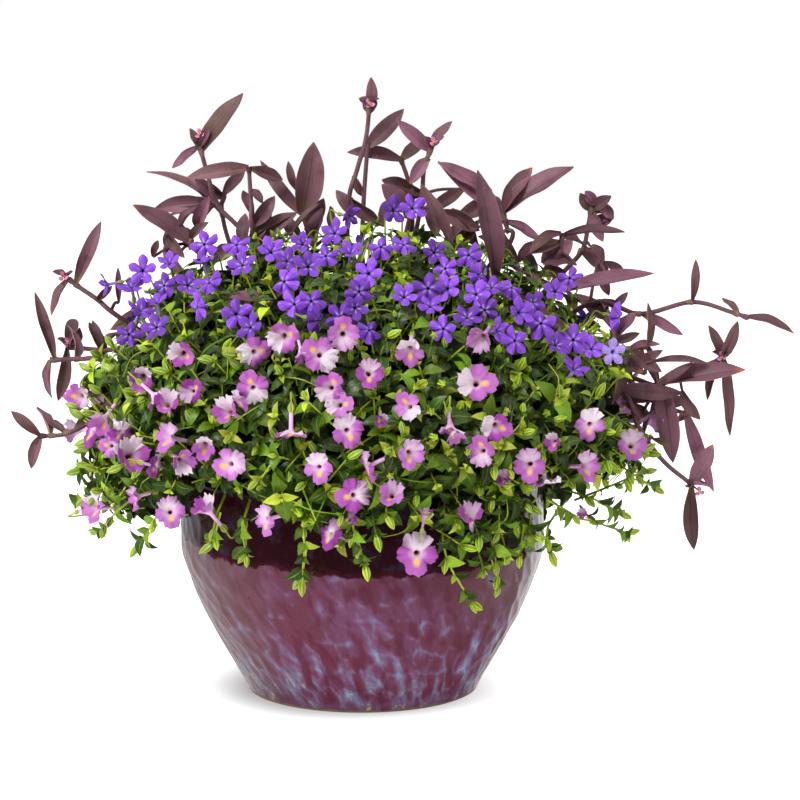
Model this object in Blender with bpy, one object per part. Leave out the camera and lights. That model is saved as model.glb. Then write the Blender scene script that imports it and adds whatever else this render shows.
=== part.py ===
"""A glazed bowl planted with wishbone flower, violet star flower and purple heart.

Units are metres and +Z is up. The origin is the centre of the bowl's foot, +X is to the right and +Y to the
back, as the planting is seen from the front. Places of blooms, leaves and stems are given as they are seen in
the front picture, in its pixels (about one millimetre each), and are set back to where their sight line meets
the planting.
"""

import math
import random

import bmesh
import bpy
import numpy as np
from mathutils import Quaternion, Vector
from mathutils.bvhtree import BVHTree

# The bowl: radius and height along its outside, foot to rim.
POT_OUTSIDE = [
    (0.1172, 0.0), (0.1295, 0.0234), (0.1441, 0.0487), (0.1615, 0.0816), (0.1760, 0.1184),
    (0.1828, 0.1450), (0.1842, 0.1720), (0.1825, 0.2000), (0.1805, 0.2190),
]
POT_RIM_HEIGHT = 0.2250
POT_WALL = 0.009
POT_FLOOR = 0.012
POT_SIDES = 32
DRAIN_HOLES = 3
DRAIN_RADIUS = 0.008
DRAIN_REACH = 0.060
DRAIN_SIDES = 8

# The potting mix and the holes that the stems stand in.
SOIL_HEIGHT = 0.202
SEAT_GAP = 0.0003
HOLE_DEPTH = 0.022
HOLE_SIDES = 5
HOLE_ROOM = 0.00035

# The heights at which the bowl's inside and the potting mix are given a ring of points.
INSIDE_HEIGHTS = [POT_FLOOR, 0.0487, 0.0816, 0.1450, SOIL_HEIGHT, 0.2190]
SOIL_HEIGHTS = [0.0816, 0.1450, SOIL_HEIGHT]

# The mound of foliage: its reach from the bowl's axis each way, at the height where it is widest.
MOUND_HEIGHT = 0.270
MOUND_SIDE = 0.285
MOUND_FRONT = 0.240
MOUND_BACK = 0.120
MOUND_TOP = 0.200
SKIRT_HEIGHT = 0.120
SKIRT_TAPER = 0.10
CORE_SHARE = 0.80
CORE_BOTTOM = 0.236
CORE_SIDES = 20
CORE_LEVELS = [0.236, 0.300, 0.350, 0.395]
CORE_GAP = 0.0008

# Two clear lanes through the mound, where front shoots of purple heart come up.
LANE_LEFT = -0.085
LANE_RIGHT = 0.135
LANE_WIDTH = 0.008
BORDER_BACK = (0.025, 0.236)
BORDER_FRONT = (-0.170, 0.370)

# The front view: an eye 2.5 m before the bowl's axis, looking slightly down.
EYE = Vector((0.038, -2.5, 0.6465))
EYE_PITCH = math.radians(8.05)
PICTURE_SCALE = 2500.0
PICTURE_MIDDLE = 400.0

# How sight lines are searched for the mound: the first depth, the step and the number of steps.
SIGHT_START = -0.27
SIGHT_STEP = 0.0015
SIGHT_STEPS = 260

CLEARANCE = 0.0006
FLAT_WITHIN = math.radians(0.5)
SHARP_ANGLE = math.radians(35)
FUSE_TRIES = 14
HAIR = 3e-5
SHORTEST_EDGE = 2e-6
SEED = 27

# Wishbone flowers in the front picture.
WISHBONE_PX = [
    (183, 353), (143, 376), (168, 405), (82, 396), (193, 391), (253, 388), (230, 412), (254, 352), (284, 336),
    (320, 355), (106, 417), (93, 432), (120, 431), (129, 456), (172, 438), (180, 460), (205, 444), (155, 466),
    (231, 464), (291, 432), (319, 467), (343, 334), (369, 374), (410, 348), (483, 336), (476, 384), (331, 388),
    (340, 405), (347, 430), (410, 407), (409, 452), (495, 425), (483, 451), (453, 429), (368, 466), (530, 464),
    (381, 417), (354, 495), (392, 496), (424, 519), (417, 553), (471, 519), (505, 479), (545, 482), (331, 534),
    (348, 520), (555, 441), (590, 424), (631, 446), (583, 466), (584, 515), (98, 507), (139, 496), (170, 512),
    (210, 512), (267, 519),
]
# Violet star flowers in the front picture.
STAR_PX = [
    (205, 245), (205, 266), (210, 284), (143, 271), (132, 289), (110, 284), (170, 265), (165, 286), (188, 286),
    (158, 305), (140, 312), (157, 328), (129, 335), (237, 246), (243, 266), (271, 253), (287, 262), (285, 282),
    (308, 267), (326, 257), (236, 314), (251, 328), (294, 305), (311, 302), (317, 320), (199, 307), (303, 245),
    (348, 216), (335, 234), (350, 255), (369, 274), (359, 292), (355, 308), (412, 209), (393, 211), (381, 248),
    (403, 246), (434, 253), (404, 298), (446, 269), (448, 289), (428, 289), (430, 308), (443, 329), (469, 256),
    (477, 275), (476, 295), (492, 289), (485, 310), (467, 319), (511, 289), (518, 313), (532, 303), (541, 324),
    (495, 331), (514, 341), (555, 346), (369, 331), (340, 317), (573, 340), (573, 371), (618, 317), (612, 352),
    (591, 350), (570, 279), (555, 292),
]
WISHBONE_SPRAYS = (9, 0)
STAR_SPRAYS = (11, 2)
# Flowers that the front view doesn't show, by angle round the bowl and height.
WISHBONE_UNSEEN = [(8, 0.27), (24, 0.28), (156, 0.28), (172, 0.26)]
STAR_UNSEEN = [
    (25, 0.37), (50, 0.42), (72, 0.38), (90, 0.44), (108, 0.38), (130, 0.42), (155, 0.37), (90, 0.33),
]

# Trailing sprigs at the mound's lower edge: where each one leaves the mound and where it ends.
SPRIG_PX = [
    ((120, 470), (78, 503)), ((160, 480), (100, 530)), ((175, 490), (141, 543)), ((250, 500), (246, 552)),
    ((300, 500), (302, 577)), ((350, 495), (364, 562)), ((440, 505), (470, 600)), ((480, 500), (499, 584)),
    ((540, 490), (562, 550)), ((575, 480), (592, 533)), ((590, 470), (642, 533)), ((600, 445), (655, 478)),
]

# Shoots of purple heart. Each has its stem as picture points with their distance behind the bowl's axis, then
# its leaves as (base, tip, width in mm, how far the tip lies behind the base).
PURPLE_HEART = {
    "left_high": (
        [(119, 317, 0.02), (98, 300, 0.02), (79, 287, 0.02), (66, 277, 0.02)],
        [((75, 284), (101, 221), 14, 0.01), ((69, 279), (51, 315), 11, -0.01)],
    ),
    "left_middle": (
        [(105, 361, -0.01), (80, 359, -0.01), (51, 360, -0.01)],
        [((54, 360), (35, 292), 13, -0.01), ((51, 360), (51, 398), 12, 0.01)],
    ),
    "left_curled": (
        [(124, 353, 0.03), (100, 350, 0.03), (67, 347, 0.03)],
        [((72, 348), (80, 328), 11, -0.01), ((67, 347), (58, 401), 12, 0.01),
         ((104, 350), (92, 320), 9, 0.01)],
    ),
    "left_low": (
        [(122, 385, -0.03), (100, 415, -0.03), (67, 435, -0.03), (39, 438, -0.03)],
        [((41, 437), (11, 411), 12, 0.0), ((41, 438), (31, 469), 11, -0.01), ((65, 434), (46, 419), 9, 0.01),
         ((108, 402), (74, 428), 13, -0.02)],
    ),
    "back_left_low": (
        [(232, 250, 0.10), (222, 212, 0.10), (224, 192, 0.10)],
        [((224, 195), (245, 171), 12, 0.01), ((223, 198), (194, 178), 12, -0.01),
         ((221, 212), (147, 171), 15, 0.02)],
    ),
    "back_left_big": (
        [(205, 262, 0.07), (190, 243, 0.07), (200, 222, 0.08), (214, 203, 0.08)],
        [((190, 244), (133, 205), 20, -0.01), ((213, 203), (155, 212), 15, 0.02),
         ((198, 226), (209, 196), 12, -0.02),
         ((193, 240), (208, 222), 10, -0.02)],
    ),
    "back_left_tall": (
        [(250, 243, 0.06), (218, 206, 0.06), (208, 176, 0.06), (200, 147, 0.06)],
        [((201, 150), (243, 93), 15, 0.0), ((200, 147), (172, 168), 12, 0.0)],
    ),
    "back_left_pair": (
        [(255, 240, 0.04), (251, 200, 0.04), (249, 168, 0.04)],
        [((249, 170), (187, 177), 15, 0.0), ((249, 170), (283, 180), 14, 0.01),
         ((252, 215), (243, 190), 10, 0.02),
         ((253, 225), (275, 196), 13, 0.0), ((254, 234), (297, 212), 10, 0.01)],
    ),
    "upright_broad": (
        [(314, 247, 0.06), (306, 226, 0.06), (301, 208, 0.06)],
        [((301, 212), (314, 142), 27, 0.0), ((303, 215), (260, 160), 12, 0.02),
         ((307, 230), (324, 198), 14, 0.01)],
    ),
    "centre_tall": (
        [(348, 208, 0.05), (357, 170, 0.05), (366, 138, 0.05), (370, 100, 0.05)],
        [((369, 108), (371, 77), 11, 0.0), ((350, 196), (380, 222), 13, 0.0)],
    ),
    "centre_arched": (
        [(363, 214, 0.08), (365, 180, 0.08), (368, 142, 0.08)],
        [((368, 146), (404, 109), 16, 0.01)],
    ),
    "centre_fork": (
        [(412, 205, 0.09), (408, 180, 0.09), (400, 157, 0.09)],
        [((400, 159), (347, 152), 13, 0.0), ((400, 159), (425, 138), 12, 0.02),
         ((409, 190), (382, 180), 13, -0.01)],
    ),
    "centre_flowered": (
        [(420, 210, 0.06), (424, 170, 0.06), (431, 148, 0.06)],
        [((430, 150), (397, 120), 13, 0.0), ((431, 149), (452, 121), 11, 0.01),
         ((428, 160), (410, 184), 13, -0.01)],
    ),
    "centre_low": (
        [(412, 228, 0.03), (406, 214, 0.03), (404, 205, 0.03)],
        [((405, 212), (382, 184), 20, 0.0)],
    ),
    "front_grey": (
        [(452, 256, 0.01), (450, 243, 0.0), (447, 232, 0.0)],
        [((449, 240), (421, 184), 14, 0.0)],
    ),
    "right_back_fan": (
        [(510, 243, 0.06), (507, 228, 0.06), (503, 212, 0.06)],
        [((504, 214), (573, 166), 24, 0.0), ((503, 212), (532, 167), 19, 0.02),
         ((507, 222), (541, 241), 13, -0.01),
         ((504, 220), (438, 161), 15, 0.01)],
    ),
    "right_back_pair": (
        [(552, 262, 0.05), (560, 248, 0.05), (563, 233, 0.05)],
        [((562, 236), (625, 232), 13, 0.0), ((561, 243), (529, 253), 12, -0.01)],
    ),
    "right_back_curled": (
        [(573, 262, 0.08), (584, 246, 0.08), (588, 226, 0.08), (592, 206, 0.08)],
        [((591, 210), (580, 193), 11, 0.0), ((592, 208), (611, 196), 11, -0.01),
         ((588, 228), (614, 217), 12, 0.01),
         ((583, 250), (606, 272), 12, -0.01)],
    ),
    "right_long": (
        [(590, 303, 0.03), (640, 314, 0.02), (692, 302, 0.01), (731, 312, 0.0), (749, 318, 0.0)],
        [((694, 302), (696, 259), 10, 0.0), ((746, 317), (794, 333), 13, -0.01),
         ((738, 314), (722, 298), 9, 0.01),
         ((637, 314), (683, 335), 13, -0.01)],
    ),
    "right_middle": (
        [(622, 378, 0.02), (657, 385, 0.02), (690, 372, 0.02), (722, 358, 0.02)],
        [((721, 358), (709, 325), 11, 0.01), ((722, 358), (738, 321), 12, -0.01),
         ((721, 359), (730, 436), 14, 0.0),
         ((660, 385), (745, 369), 24, -0.02), ((660, 386), (673, 463), 20, -0.01)],
    ),
    "right_low": (
        [(618, 392, 0.0), (640, 430, 0.0), (664, 462, 0.0), (692, 485, 0.0)],
        [((692, 485), (713, 444), 14, 0.01), ((693, 486), (694, 550), 17, 0.0),
         ((640, 428), (612, 436), 12, -0.01)],
    ),
    "right_hanging": (
        [(610, 372, 0.04), (650, 400, 0.04), (686, 414, 0.04)],
        [((685, 414), (714, 492), 14, 0.0), ((660, 404), (689, 400), 10, 0.01)],
    ),
    "right_tangle": (
        [(600, 345, 0.0), (625, 350, 0.0), (647, 347, 0.0)],
        [((646, 347), (648, 303), 10, 0.0), ((630, 350), (662, 372), 13, -0.01),
         ((620, 349), (612, 405), 15, -0.02)],
    ),
    "back_far_left": (
        [(225, 290, 0.13), (190, 280, 0.15), (160, 300, 0.17)],
        [((163, 299), (110, 330), 17, 0.02), ((190, 280), (165, 240), 15, 0.03),
         ((160, 300), (165, 370), 15, 0.03)],
    ),
    "back_left": (
        [(300, 300, 0.14), (285, 270, 0.18), (270, 300, 0.21)],
        [((271, 298), (230, 340), 18, 0.02), ((284, 272), (250, 230), 16, 0.03),
         ((270, 300), (292, 372), 17, 0.02)],
    ),
    "back_right": (
        [(430, 290, 0.14), (440, 262, 0.19), (455, 300, 0.22)],
        [((454, 298), (500, 335), 18, 0.02), ((440, 264), (465, 215), 16, 0.04),
         ((455, 300), (440, 375), 17, 0.01)],
    ),
    "back_far_right": (
        [(520, 290, 0.13), (548, 272, 0.16), (575, 300, 0.18)],
        [((573, 298), (622, 338), 17, 0.02), ((548, 273), (572, 236), 15, 0.04),
         ((575, 300), (560, 372), 15, 0.03)],
    ),
}
# Shoots that come up through the lanes and lean out of the mound's front: lane, stem and leaves as above.
LANE_SHOOTS = {
    "front_left": (
        LANE_LEFT, [(272, 318, -0.09), (270, 302, -0.12)],
        [((271, 304), (230, 297), 14, -0.01), ((271, 308), (290, 286), 9, 0.0)],
    ),
    "front_tall": (
        LANE_RIGHT, [(497, 292, -0.04), (494, 275, -0.04)],
        [((494, 278), (478, 170), 25, 0.0), ((495, 285), (575, 332), 15, -0.05)],
    ),
    "front_long": (
        LANE_RIGHT, [(497, 262, 0.03), (520, 270, 0.01), (545, 282, 0.0), (568, 291, 0.0)],
        [((566, 290), (654, 273), 14, 0.0)],
    ),
}
SHOOT_RISE = 0.245
LANE_RISE = 0.250
LANE_FEET = (-0.05, 0.0, 0.03)
STEM_RADIUS = 0.0023
STEM_SIDES = 3
STEM_TAPER = 0.75
STEM_TRIES = 14
STEM_SETBACK = 0.006
LEAF_ROOT = 0.0006
LEAF_SWING = 0.006
LEAF_TRIES = 24
SPRAY_STALK = 0.026
SPRAY_RADII = (0.0022, 0.0020)
FLOWER_TRIES = 60
STALKS_CLEAR_TRIES = 40
OFF_STEM = 0.004
FLOWER_WANDER = 0.25
SPRIG_RADII = (0.0012, 0.0009)
SPRIG_TRIES = 20
ROOT_ARC = (138.0, 42.0)
ROOT_RADII = (0.160, 0.143)
CROWN_RADIUS = 0.005
CROWN_SIDES = 6
CROWN_SUNK = 0.020
CROWN_REACH = 0.155

# The reach of each rim point: the wishbone flower has a broad lower lip, two side lobes and a notched upper lip,
# and the star flower five pointed petals.
WISHBONE_LOBES = (1.0, 0.78, 0.98, 0.74, 1.0, 0.78, 1.06, 1.0, 0.78, 1.0)
STAR_PETALS = (1.0, 0.5) * 5
# Each kind: size, rim, how far its lobes curl back, depth of the throat, length of the tube, radius of the stalk.
FLOWERS = {
    "wishbone": (0.0165, WISHBONE_LOBES, 0.0015, 0.005, 0.013, 0.0011),
    "star": (0.0150, STAR_PETALS, 0.001, 0.003, 0.009, 0.0010),
}
LOBE_SHARE = 0.9

LEAF_OUTLINE = [(0.0, 0.16), (0.30, 0.94), (0.66, 0.80)]
LEAF_SIZES = {"wishbone": 0.044, "star": 0.038}
LEAVES = 92
LOWEST_LEAF = -0.15


def sight(px, py):
    """The direction from the eye through a point of the front picture."""
    right = (px - PICTURE_MIDDLE) / PICTURE_SCALE
    up = (PICTURE_MIDDLE - py) / PICTURE_SCALE
    level, drop = math.cos(EYE_PITCH), math.sin(EYE_PITCH)
    return Vector((right, level + up * drop, up * level - drop))


def at_depth(px, py, depth):
    """The point of a sight line that lies this far behind the bowl's axis."""
    way = sight(px, py)
    return EYE + way * ((depth - EYE.y) / way.y)


def mound_share(point):
    """How far out in the mound a point lies: 0 on its middle line, 1 on its surface."""
    reach = MOUND_FRONT if point.y < 0 else MOUND_BACK
    flat = math.hypot(point.x / MOUND_SIDE, point.y / reach)
    above = point.z - MOUND_HEIGHT
    if above >= 0:
        return math.hypot(flat, above / MOUND_TOP)
    return flat / (1 - SKIRT_TAPER * (above / SKIRT_HEIGHT) ** 2)


def on_mound(px, py, share=1.0):
    """Where a sight line first meets the mound's shell of this share, or passes nearest to it."""
    best = None
    for step in range(SIGHT_STEPS):
        point = at_depth(px, py, SIGHT_START + SIGHT_STEP * step)
        found = mound_share(point)
        if found <= share:
            return point
        if best is None or found < best[0]:
            best = (found, point)
    return best[1]


def outward(point):
    """The mound's outward direction at a point."""
    reach = MOUND_FRONT if point.y < 0 else MOUND_BACK
    above = (point.z - MOUND_HEIGHT) / MOUND_TOP ** 2
    if above < 0:
        above *= 0.5
    return Vector((point.x / MOUND_SIDE ** 2, point.y / reach ** 2, above)).normalized()


def mound_point(angle, height, share):
    """A point of the mound's shell by its angle round the bowl, in degrees from +X, and its height."""
    turn = math.radians(angle)
    reach = MOUND_BACK if math.sin(turn) > 0 else MOUND_FRONT
    shrink = math.sqrt(max(0.0, share ** 2 - (max(0.0, height - MOUND_HEIGHT) / MOUND_TOP) ** 2))
    return Vector((MOUND_SIDE * shrink * math.cos(turn), reach * shrink * math.sin(turn), height))


def smooth_route(points, steps):
    """A Catmull-Rom curve through the points, with this many steps between neighbours."""
    ends = [points[0] * 2 - points[1]] + list(points) + [points[-1] * 2 - points[-2]]
    route = []
    for i in range(1, len(ends) - 2):
        a, b, c, d = ends[i - 1:i + 3]
        for step in range(steps):
            t = step / steps
            route.append(0.5 * (2 * b + (c - a) * t + (2 * a - 5 * b + 4 * c - d) * t * t
                                + (3 * b - a - 3 * c + d) * t ** 3))
    route.append(points[-1].copy())
    return route


def stitch(faces, first, second):
    """Triangles between two rings of point numbers, which may differ in count; one point closes a cone."""
    n, m = len(first), len(second)
    i = j = 0
    while i < n or j < m:
        take_first = m == 1 or (i < n and (i + 1) / n <= (j + 1) / m)
        if take_first:
            if n > 1:
                faces.append((first[i % n], first[(i + 1) % n], second[j % m]))
            i += 1
            if m == 1 and i >= n:
                return
        else:
            if m > 1:
                faces.append((first[i % n], second[(j + 1) % m], second[j % m]))
            j += 1
            if n == 1 and j >= m:
                return


def loft(rings):
    """A closed shape through rings of points; an end ring of several points is capped."""
    points, faces, numbers = [], [], []
    for ring in rings:
        numbers.append(list(range(len(points), len(points) + len(ring))))
        points.extend(ring)
    for before, after in zip(numbers, numbers[1:]):
        stitch(faces, before, after)
    for ring in (numbers[0], numbers[-1]):
        for k in range(1, len(ring) - 1):
            faces.append((ring[0], ring[k], ring[k + 1]))
    return points, faces


def side_vectors(way, hint=Vector((0, 0, 1))):
    """Two unit vectors square to a direction and to each other."""
    across = way.cross(hint)
    if across.length < 1e-3 * way.length:
        across = way.cross(Vector((1, 0, 0)))
    across.normalize()
    return across, across.cross(way).normalized()


def ring_about(centre, way, radius, sides, hint=Vector((0, 0, 1))):
    across, up = side_vectors(way, hint)
    turns = [2 * math.pi * (k + 0.5) / sides for k in range(sides)]
    return [centre + across * (radius * math.cos(t)) + up * (radius * math.sin(t)) for t in turns]


def tube(route, radius, sides, end_radius=None):
    """A closed tube along a route, tapering to its end radius."""
    end_radius = radius if end_radius is None else end_radius
    rings = []
    hint = side_vectors(route[1] - route[0])[1]
    for k, point in enumerate(route):
        way = (route[min(k + 1, len(route) - 1)] - route[max(k - 1, 0)]).normalized()
        share = k / (len(route) - 1)
        hint = (hint - way * hint.dot(way)).normalized()
        rings.append(ring_about(point, way, radius + (end_radius - radius) * share, sides, hint))
    return loft(rings)


def channelled_leaf(base, tip, width, up, thickness=0.0011, fold=0.42, arch=0.06):
    """A purple heart leaf: lance-shaped, folded along its midrib and sheathing the stem at its base."""
    length = (tip - base).length
    way = (tip - base).normalized()
    across = way.cross(up).normalized()
    above = across.cross(way).normalized()
    start = base - way * LEAF_ROOT
    rings = []
    for share, spread in LEAF_OUTLINE:
        centre = start.lerp(tip, share) + above * (arch * length * math.sin(math.pi * share))
        half = 0.5 * width * spread
        lift = above * (fold * half)
        under = above * thickness
        rings.append([centre, centre + across * half + lift, centre - under, centre - across * half + lift])
    rings.append([tip])
    return loft(rings)


def keeled_leaf(base, tip, width, up, thickness=0.0014, arch=0.10):
    """A small garden leaf: ovate, flat on top with its midrib standing out below."""
    length = (tip - base).length
    way = (tip - base).normalized()
    across = way.cross(up).normalized()
    above = across.cross(way).normalized()
    rings = [[base]]
    for share, spread in ((0.34, 0.94), (0.66, 0.80)):
        centre = base.lerp(tip, share) + above * (arch * length * math.sin(math.pi * share))
        half = across * (0.5 * width * spread)
        rings.append([centre + half, centre - above * thickness, centre - half])
    rings.append([tip])
    return loft(rings)


def flower(place, facing, form, spin, hub=None):
    """A one-piece flower: a lobed face round its throat, a tube behind it and a stalk to the spray's stem."""
    size, reach, curl, throat, tube_length, stalk_radius = form
    across, up = side_vectors(facing)
    face = []
    for k, share in enumerate(reach):
        turn = spin + 2 * math.pi * k / len(reach)
        side = (across * math.cos(turn) + up * math.sin(turn)) * (size * share)
        face.append(place + side - facing * (curl if share > LOBE_SHARE else 0.0))
    neck = place - facing * tube_length
    turns = [spin + 2 * math.pi * k / 3 for k in range(3)]
    spokes = [(across * math.cos(t) + up * math.sin(t)) * stalk_radius for t in turns]
    if hub is None:
        return loft([[place - facing * throat], face, [neck + spoke for spoke in spokes]])
    bend = (-facing).rotation_difference(hub - neck)
    half_bend = Quaternion().slerp(bend, 0.5)
    tube_ring = [neck + half_bend @ spoke * 1.2 for spoke in spokes]
    stalk_end = [hub + bend @ spoke for spoke in spokes]
    return loft([[place - facing * throat], face, tube_ring, stalk_end])


class Ground:
    """The solids placed so far, for keeping new ones clear of them."""

    def __init__(self):
        self.solids = []

    def add(self, owner, shape):
        points = [tuple(p) for p in shape[0]]
        corners = np.array(points)
        tree = BVHTree.FromPolygons(points, shape[1])
        self.solids.append((owner, tree, corners.min(axis=0), corners.max(axis=0)))

    def touches(self, shape, skip=(), clearance=CLEARANCE):
        """Whether the shape, swollen by the clearance, cuts a placed solid of another owner."""
        corners = np.array([tuple(p) for p in shape[0]])
        faces = np.array(shape[1])
        first = corners[faces[:, 0]]
        sides = np.cross(corners[faces[:, 1]] - first, corners[faces[:, 2]] - first)
        inside_out = np.einsum("ij,ij->i", first, sides).sum() < 0
        normals = np.zeros_like(corners)
        for k in range(3):
            np.add.at(normals, faces[:, k], -sides if inside_out else sides)
        normals /= np.maximum(np.linalg.norm(normals, axis=1, keepdims=True), 1e-12)
        swollen = corners + normals * clearance
        low, high = swollen.min(axis=0), swollen.max(axis=0)
        tree = None
        for owner, other, other_low, other_high in self.solids:
            if owner in skip or (low > other_high).any() or (high < other_low).any():
                continue
            tree = tree or BVHTree.FromPolygons(swollen.tolist(), shape[1])
            if tree.overlap(other):
                return True
        return False


def material(name, colour, roughness):
    made = bpy.data.materials.new(name)
    made.use_nodes = True
    shader = made.node_tree.nodes["Principled BSDF"]
    shader.inputs["Base Color"].default_value = (*colour, 1.0)
    shader.inputs["Roughness"].default_value = roughness
    shader.inputs["Metallic"].default_value = 0.0
    made.diffuse_color = (*colour, 1.0)
    return made


def mesh_of(name, shape):
    """A mesh from points and triangles, with its faces pointing out."""
    mesh = bpy.data.meshes.new(name)
    bm = bmesh.new()
    corners = [bm.verts.new(point) for point in shape[0]]
    for face in shape[1]:
        bm.faces.new([corners[k] for k in face])
    bmesh.ops.recalc_face_normals(bm, faces=bm.faces)
    bm.to_mesh(mesh)
    bm.free()
    return mesh


def bodies_of(bm):
    """The mesh's separate bodies, as sets of faces joined over edges that have exactly two faces."""
    left = set(bm.faces)
    bodies = []
    while left:
        body = {left.pop()}
        border = list(body)
        while border:
            links = [edge.link_faces for face in border for edge in face.edges if len(edge.link_faces) == 2]
            near = {face for pair in links for face in pair} - body
            body |= near
            border = list(near)
        left -= body
        bodies.append(body)
    return bodies


def box_size(body):
    """The diagonal of the box round these faces."""
    corners = [corner.co for face in body for corner in face.verts]
    spans = [[corner[axis] for corner in corners] for axis in range(3)]
    return math.hypot(*[max(span) - min(span) for span in spans])


def keep_one_body(mesh, join_flats=True):
    """Drops loose scraps and the walls of sealed hollows, which leaves the one outer body, and joins its flats."""
    bm = bmesh.new()
    bm.from_mesh(mesh)
    bmesh.ops.triangulate(bm, faces=bm.faces)
    bodies = sorted(bodies_of(bm), key=box_size)
    bmesh.ops.delete(bm, geom=[face for body in bodies[:-1] for face in body], context="FACES")
    if join_flats:
        bmesh.ops.dissolve_limit(bm, angle_limit=FLAT_WITHIN, verts=bm.verts, edges=bm.edges)
        bmesh.ops.triangulate(bm, faces=bm.faces)
    bm.to_mesh(mesh)
    bm.free()


def clean_body(mesh):
    """Whether the mesh is one body with two faces at every edge, also once near points are taken as one."""
    bm = bmesh.new()
    bm.from_mesh(mesh)
    clean = all(corner.is_manifold for corner in bm.verts)
    for _ in range(2):
        clean = clean and all(edge.is_contiguous for edge in bm.edges) and len(bodies_of(bm)) == 1
        bmesh.ops.remove_doubles(bm, verts=bm.verts, dist=2 * SHORTEST_EDGE)
    bm.free()
    return clean


def fuse(name, host_shape, pieces, finish):
    """One object: the host shape with its pieces joined to it by one Boolean union.

    Where two edges meet so exactly that the union pinches, the pieces are moved a hair and joined again.
    """
    for attempt in range(FUSE_TRIES):
        hair = HAIR * attempt
        host = bpy.data.objects.new(name, mesh_of(name, host_shape))
        bpy.context.scene.collection.objects.link(host)
        repeats = bpy.data.collections.new(name + "_repeats")
        bpy.context.scene.collection.children.link(repeats)
        for k, piece in enumerate(pieces):
            nudge = Vector((math.sin(3.1 * k), math.sin(1.7 * k + 1), math.sin(2.3 * k + 2))) * hair
            moved = ([point + nudge for point in piece[0]], piece[1])
            label = f"{name}_piece_{k}"
            repeats.objects.link(bpy.data.objects.new(label, mesh_of(label, moved)))
        join = host.modifiers.new("join", "BOOLEAN")
        join.operation = "UNION"
        join.operand_type = "COLLECTION"
        join.solver = "MANIFOLD"
        join.collection = repeats
        joined = bpy.data.meshes.new_from_object(host.evaluated_get(bpy.context.evaluated_depsgraph_get()))
        for piece in list(repeats.objects):
            bpy.data.meshes.remove(piece.data)
        bpy.data.collections.remove(repeats)
        keep_one_body(joined, attempt < FUSE_TRIES // 2)
        if clean_body(joined) or attempt == FUSE_TRIES - 1:
            break
        bpy.data.meshes.remove(joined)
        bpy.data.objects.remove(host)
    host.modifiers.clear()
    host.data = joined
    joined.materials.clear()
    joined.materials.append(finish)
    return host


def turned(name, profile, sides, finish):
    """A closed body turned about the bowl's axis from (radius, height) points."""
    bm = bmesh.new()
    corners = [bm.verts.new((radius, 0.0, height)) for radius, height in profile]
    closed = profile[0][0] > 0
    edges = [bm.edges.new(pair) for pair in zip(corners, corners[1:])]
    if closed:
        edges.append(bm.edges.new((corners[-1], corners[0])))
    bmesh.ops.spin(bm, geom=corners + edges, cent=(0, 0, 0), axis=(0, 0, 1), angle=2 * math.pi, steps=sides)
    bmesh.ops.remove_doubles(bm, verts=bm.verts, dist=1e-6)
    bmesh.ops.dissolve_degenerate(bm, edges=bm.edges, dist=1e-7)
    bmesh.ops.recalc_face_normals(bm, faces=bm.faces)
    mesh = bpy.data.meshes.new(name)
    bm.to_mesh(mesh)
    bm.free()
    mesh.shade_smooth()
    mesh.set_sharp_from_angle(angle=SHARP_ANGLE)
    mesh.materials.append(finish)
    made = bpy.data.objects.new(name, mesh)
    bpy.context.scene.collection.objects.link(made)
    return made


def shape_of(obj):
    """The object's points and triangles, for the clearance tests."""
    obj.data.calc_loop_triangles()
    return [v.co.copy() for v in obj.data.vertices], [tuple(t.vertices) for t in obj.data.loop_triangles]


def inside_radius(height):
    """The bowl's inner radius at a height."""
    for (r0, z0), (r1, z1) in zip(POT_OUTSIDE, POT_OUTSIDE[1:]):
        if z0 <= height <= z1:
            return r0 + (r1 - r0) * (height - z0) / (z1 - z0) - POT_WALL
    return POT_OUTSIDE[-1][0] - POT_WALL


def make_pot(finish):
    rim = POT_OUTSIDE[-1][0]
    profile = list(POT_OUTSIDE)
    profile += [(rim - 0.0025, POT_RIM_HEIGHT), (rim - POT_WALL + 0.0015, POT_RIM_HEIGHT)]
    profile += [(inside_radius(height), height) for height in reversed(INSIDE_HEIGHTS)]
    pot = turned("pot", [(0.0, 0.0)] + profile + [(0.0, POT_FLOOR)], POT_SIDES, finish)
    turns = [math.radians(90) + 2 * math.pi * k / DRAIN_HOLES for k in range(DRAIN_HOLES)]
    holes = [(DRAIN_REACH * math.cos(turn), DRAIN_REACH * math.sin(turn), DRAIN_RADIUS) for turn in turns]
    drill(pot, holes, -POT_FLOOR, 2 * POT_FLOOR, DRAIN_SIDES)
    pot.data.set_sharp_from_angle(angle=SHARP_ANGLE)
    return pot


def make_potting_mix(finish, stands):
    """The filling, level on top, with a plain hole for each stem that stands in it."""
    side = [(inside_radius(height) - SEAT_GAP, height) for height in SOIL_HEIGHTS]
    bottom = POT_FLOOR + SEAT_GAP
    profile = [(0.0, bottom), (inside_radius(bottom) - SEAT_GAP, bottom)] + side + [(0.0, SOIL_HEIGHT)]
    mix = turned("potting_mix", profile, POT_SIDES, finish)
    holes = [(x, y, (radius + HOLE_ROOM) / math.cos(math.pi / HOLE_SIDES)) for x, y, radius in stands]
    drill(mix, holes, SOIL_HEIGHT - HOLE_DEPTH - SEAT_GAP, SOIL_HEIGHT + HOLE_DEPTH, HOLE_SIDES)
    return mix


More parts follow.
